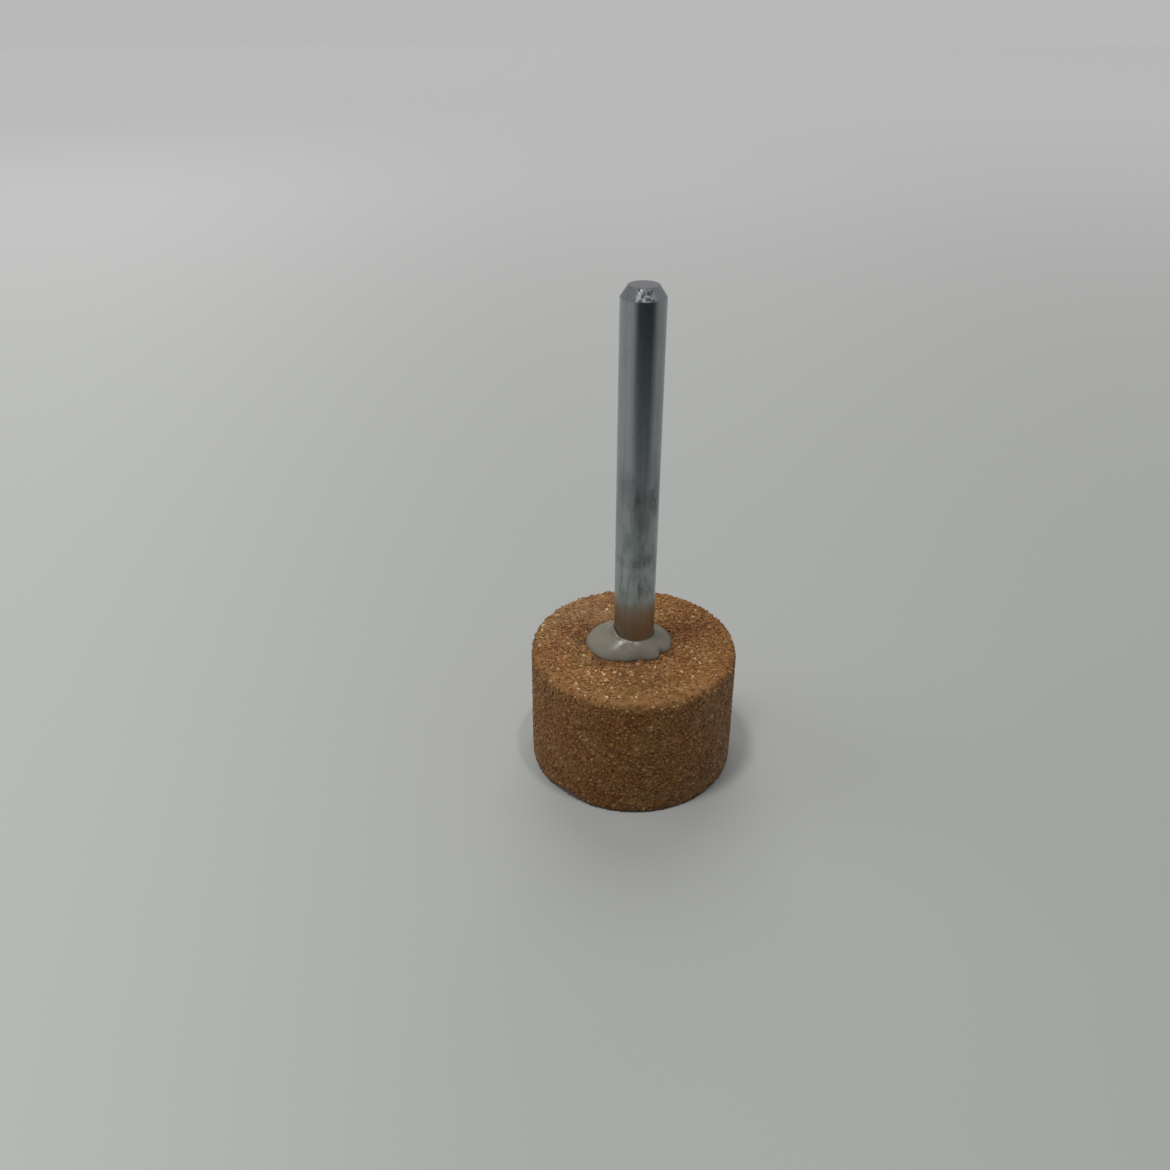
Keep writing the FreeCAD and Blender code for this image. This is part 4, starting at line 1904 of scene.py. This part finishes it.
        count, each = len(spots), len(BLOCK_CORNERS)
        block = BLOCK_CORNERS + rng.uniform(-0.2, 0.2, (count, each, 3))
        block = block * rng.uniform(*self.sides, (count, 1, 3)) * width[:, None, None]
        block = np.einsum("nij,nkj->nki", self.random_turns(count, rng), block)
        rise = rng.uniform(*self.rise, count) * width - self.wheel.inset * 0.6
        points = self.held_in((spots + out * rise[:, None])[:, None, :] + block)
        numbered = (BLOCK_FACES[None] + each * np.arange(count)[:, None, None]).reshape(-1, 3)
        marks = {
            "grain": np.repeat(grain, each),
            "dust_and_painted_light": np.repeat(self.wheel.dust_and_painted_light(spots), each),
            "specks_and_shade": np.repeat(self.wheel.specks_and_shade(spots), each),
        }
        return Surface(points.reshape(-1, 3), [numbered], marks)

    def build(self, effects: SharedEffects) -> None:
        """Places the crystals of the face and of the wall in the scene.

        Args:
            effects: The shared node groups.
        """
        finish = CrystalFacets().material(effects)
        seeds = {GrainZone.FACE: Seed.FACE_CRYSTALS, GrainZone.WALL: Seed.WALL_CRYSTALS}
        for zone, seed in seeds.items():
            blocks = self.surface(zone, seed)
            place_piece(f"{zone.value}_crystals", blocks, finish, False)


# The studio


@dataclass
class Studio:
    """Floor, lamps, surroundings and camera.

    Attributes:
        floor_radius: Radius of the floor in metres.
        floor_sides: Number of points round its rim.
        softboxes: Name, place in metres, diameter in metres and level of each softbox,
            the level being the share of a white surface's full brightness that it gives.
        mirrored_below: Diameter in metres below which a softbox shows in shiny metal.
        glow: Brightness of the surroundings as a light.
        mirrored: Colour of the surroundings where shiny metal shows them.
        eye: Place of the camera in millimetres.
        pitch: Angle in radians by which it looks down.
        roll: Angle in radians by which it is turned about its line of sight.
        focal: Focal length in pixels of the photograph.
        frame_width: Width of the photograph in pixels.
        sensor: Width of the camera's sensor in millimetres.
    """

    floor_radius: float = 3.0
    floor_sides: int = 96
    softboxes: tuple[tuple[str, tuple[float, float, float], float, float], ...] = (
        ("back_softbox", (-0.6, 16.4, 20.0), 19.4, 0.297),
        ("left_softbox", (-4.6, -2.1, 20.0), 3.0, 0.349),
        ("right_softbox", (3.1, -1.6, 20.0), 1.2, 0.171),
        ("window_softbox", (-17.0, 2.9, 8.0), 16.0, 0.171),
    )
    mirrored_below: float = 5.0
    glow: float = 0.19
    mirrored: Colour = (0.37, 1.02 * 0.37, 1.03 * 0.37, 1)
    eye: tuple[float, float, float] = (-7.375, -118.934, 103.622)
    pitch: float = 0.5523
    roll: float = -0.0029
    focal: float = 950.0
    frame_width: float = 1170.0
    sensor: float = 36.0

    def floor(self) -> None:
        """Lays the round floor at height 0: one flat ring of faces round its middle."""
        count = self.floor_sides
        angles = np.arange(count) * math.tau / count
        rim = np.stack([np.cos(angles), np.sin(angles), 0 * angles], -1) * self.floor_radius
        points = np.concatenate([[[0, 0, 0]], rim])
        around = np.arange(count)
        faces = np.stack([np.zeros(count, int), around + 1, (around + 1) % count + 1], -1)
        mesh = bpy.data.meshes.new("floor")
        mesh.from_pydata(points.tolist(), [], faces.tolist())
        mesh.materials.append(BenchTop().material())
        floor = bpy.data.objects.new("floor", mesh)
        bpy.context.scene.collection.objects.link(floor)

    def softbox(
        self, name: str, place: Vector, target: Vector, diameter: float, level: float
    ) -> None:
        """Hangs one round softbox. Only small ones show up as highlights.

        A disc of radiance L, seen from the target at a half angle a, lights a surface
        that faces it as a white sky of brightness L times sin^2 a would, which sets L.
        Its power is L times pi times its area.

        Args:
            name: Name of the lamp.
            place: Where it hangs in metres.
            target: What it points at.
            diameter: Its diameter in metres.
            level: How bright a white surface facing it gets.
        """
        lamp = bpy.data.lights.new(name, "AREA")
        lamp.shape = "DISK"
        lamp.size = diameter
        away = place - target
        half_angle = math.atan2(diameter / 2, away.length)
        radiance = level / math.sin(half_angle) ** 2
        lamp.energy = radiance * math.pi * math.pi * (diameter / 2) ** 2
        hung = bpy.data.objects.new(name, lamp)
        turn = away.to_track_quat("Z", "Y").to_matrix().to_4x4()
        hung.matrix_world = Matrix.Translation(place) @ turn
        hung.visible_camera = False
        hung.visible_glossy = diameter < self.mirrored_below
        bpy.context.scene.collection.objects.link(hung)

    def lamps(self) -> None:
        """Hangs the softboxes, each pointed at the tool."""
        for name, place, diameter, level in self.softboxes:
            self.softbox(name, Vector(place), Vector((0, 0, 0)), diameter, level)

    def surroundings(self) -> None:
        """A dim even glow as light, another for metal, and the far floor's colour where
        the camera sees it."""
        world = bpy.data.worlds.new("surroundings")
        world.use_nodes = True
        graph = Graph(world.node_tree)
        seen = graph.node("ShaderNodeBackground")
        seen.inputs["Color"].default_value = BenchTop().far
        glow = graph.node("ShaderNodeBackground")
        glow.inputs["Color"].default_value = (self.glow, self.glow, self.glow, 1)
        mirrored = graph.node("ShaderNodeBackground")
        mirrored.inputs["Color"].default_value = self.mirrored
        path = graph.node("ShaderNodeLightPath")
        output = graph.node("ShaderNodeOutputWorld")
        shown = glow.outputs[0]
        for ray, background in (("Is Glossy Ray", mirrored), ("Is Camera Ray", seen)):
            blend = graph.node("ShaderNodeMixShader")
            graph.feed(blend.inputs[0], path.outputs[ray])
            graph.feed(blend.inputs[1], shown)
            graph.feed(blend.inputs[2], background.outputs[0])
            shown = blend.outputs[0]
        graph.feed(output.inputs["Surface"], shown)
        bpy.context.scene.world = world

    def camera(self) -> None:
        """Sets the camera that looks down at the tool from the front."""
        pitch, roll = self.pitch, self.roll
        data = bpy.data.cameras.new("camera")
        data.sensor_width = self.sensor
        data.lens = self.sensor * self.focal / self.frame_width
        data.clip_start = 0.01
        data.clip_end = 100.0
        camera = bpy.data.objects.new("camera", data)
        ahead = Vector((0, math.cos(pitch), -math.sin(pitch)))
        up = Vector((0, math.sin(pitch), math.cos(pitch)))
        right = Vector((1, 0, 0))
        across = math.cos(roll) * right + math.sin(roll) * up
        upright = -math.sin(roll) * right + math.cos(roll) * up
        turn = Matrix((across, upright, -ahead)).transposed().to_4x4()
        camera.matrix_world = Matrix.Translation(Vector(self.eye) * MM) @ turn
        bpy.context.scene.collection.objects.link(camera)
        bpy.context.scene.camera = camera

    def build(self) -> None:
        """Sets up the whole studio."""
        self.floor()
        self.lamps()
        self.surroundings()
        self.camera()
        bpy.context.scene.view_settings.view_transform = "Standard"


def main() -> None:
    """Builds the tool's pieces and the studio."""
    logging.basicConfig(level=logging.INFO, format="%(name)s: %(message)s")
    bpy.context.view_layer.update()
    effects = SharedEffects.build()
    shank = SteelShank()
    shank.build(effects)
    cement = BondingCement(shank)
    cement.build(effects)
    wheel = GrindingWheel(cement)
    wheel.build(effects)
    LooseCrystals(wheel).build(effects)
    Studio().build()


if __name__ == "__main__":
    main()
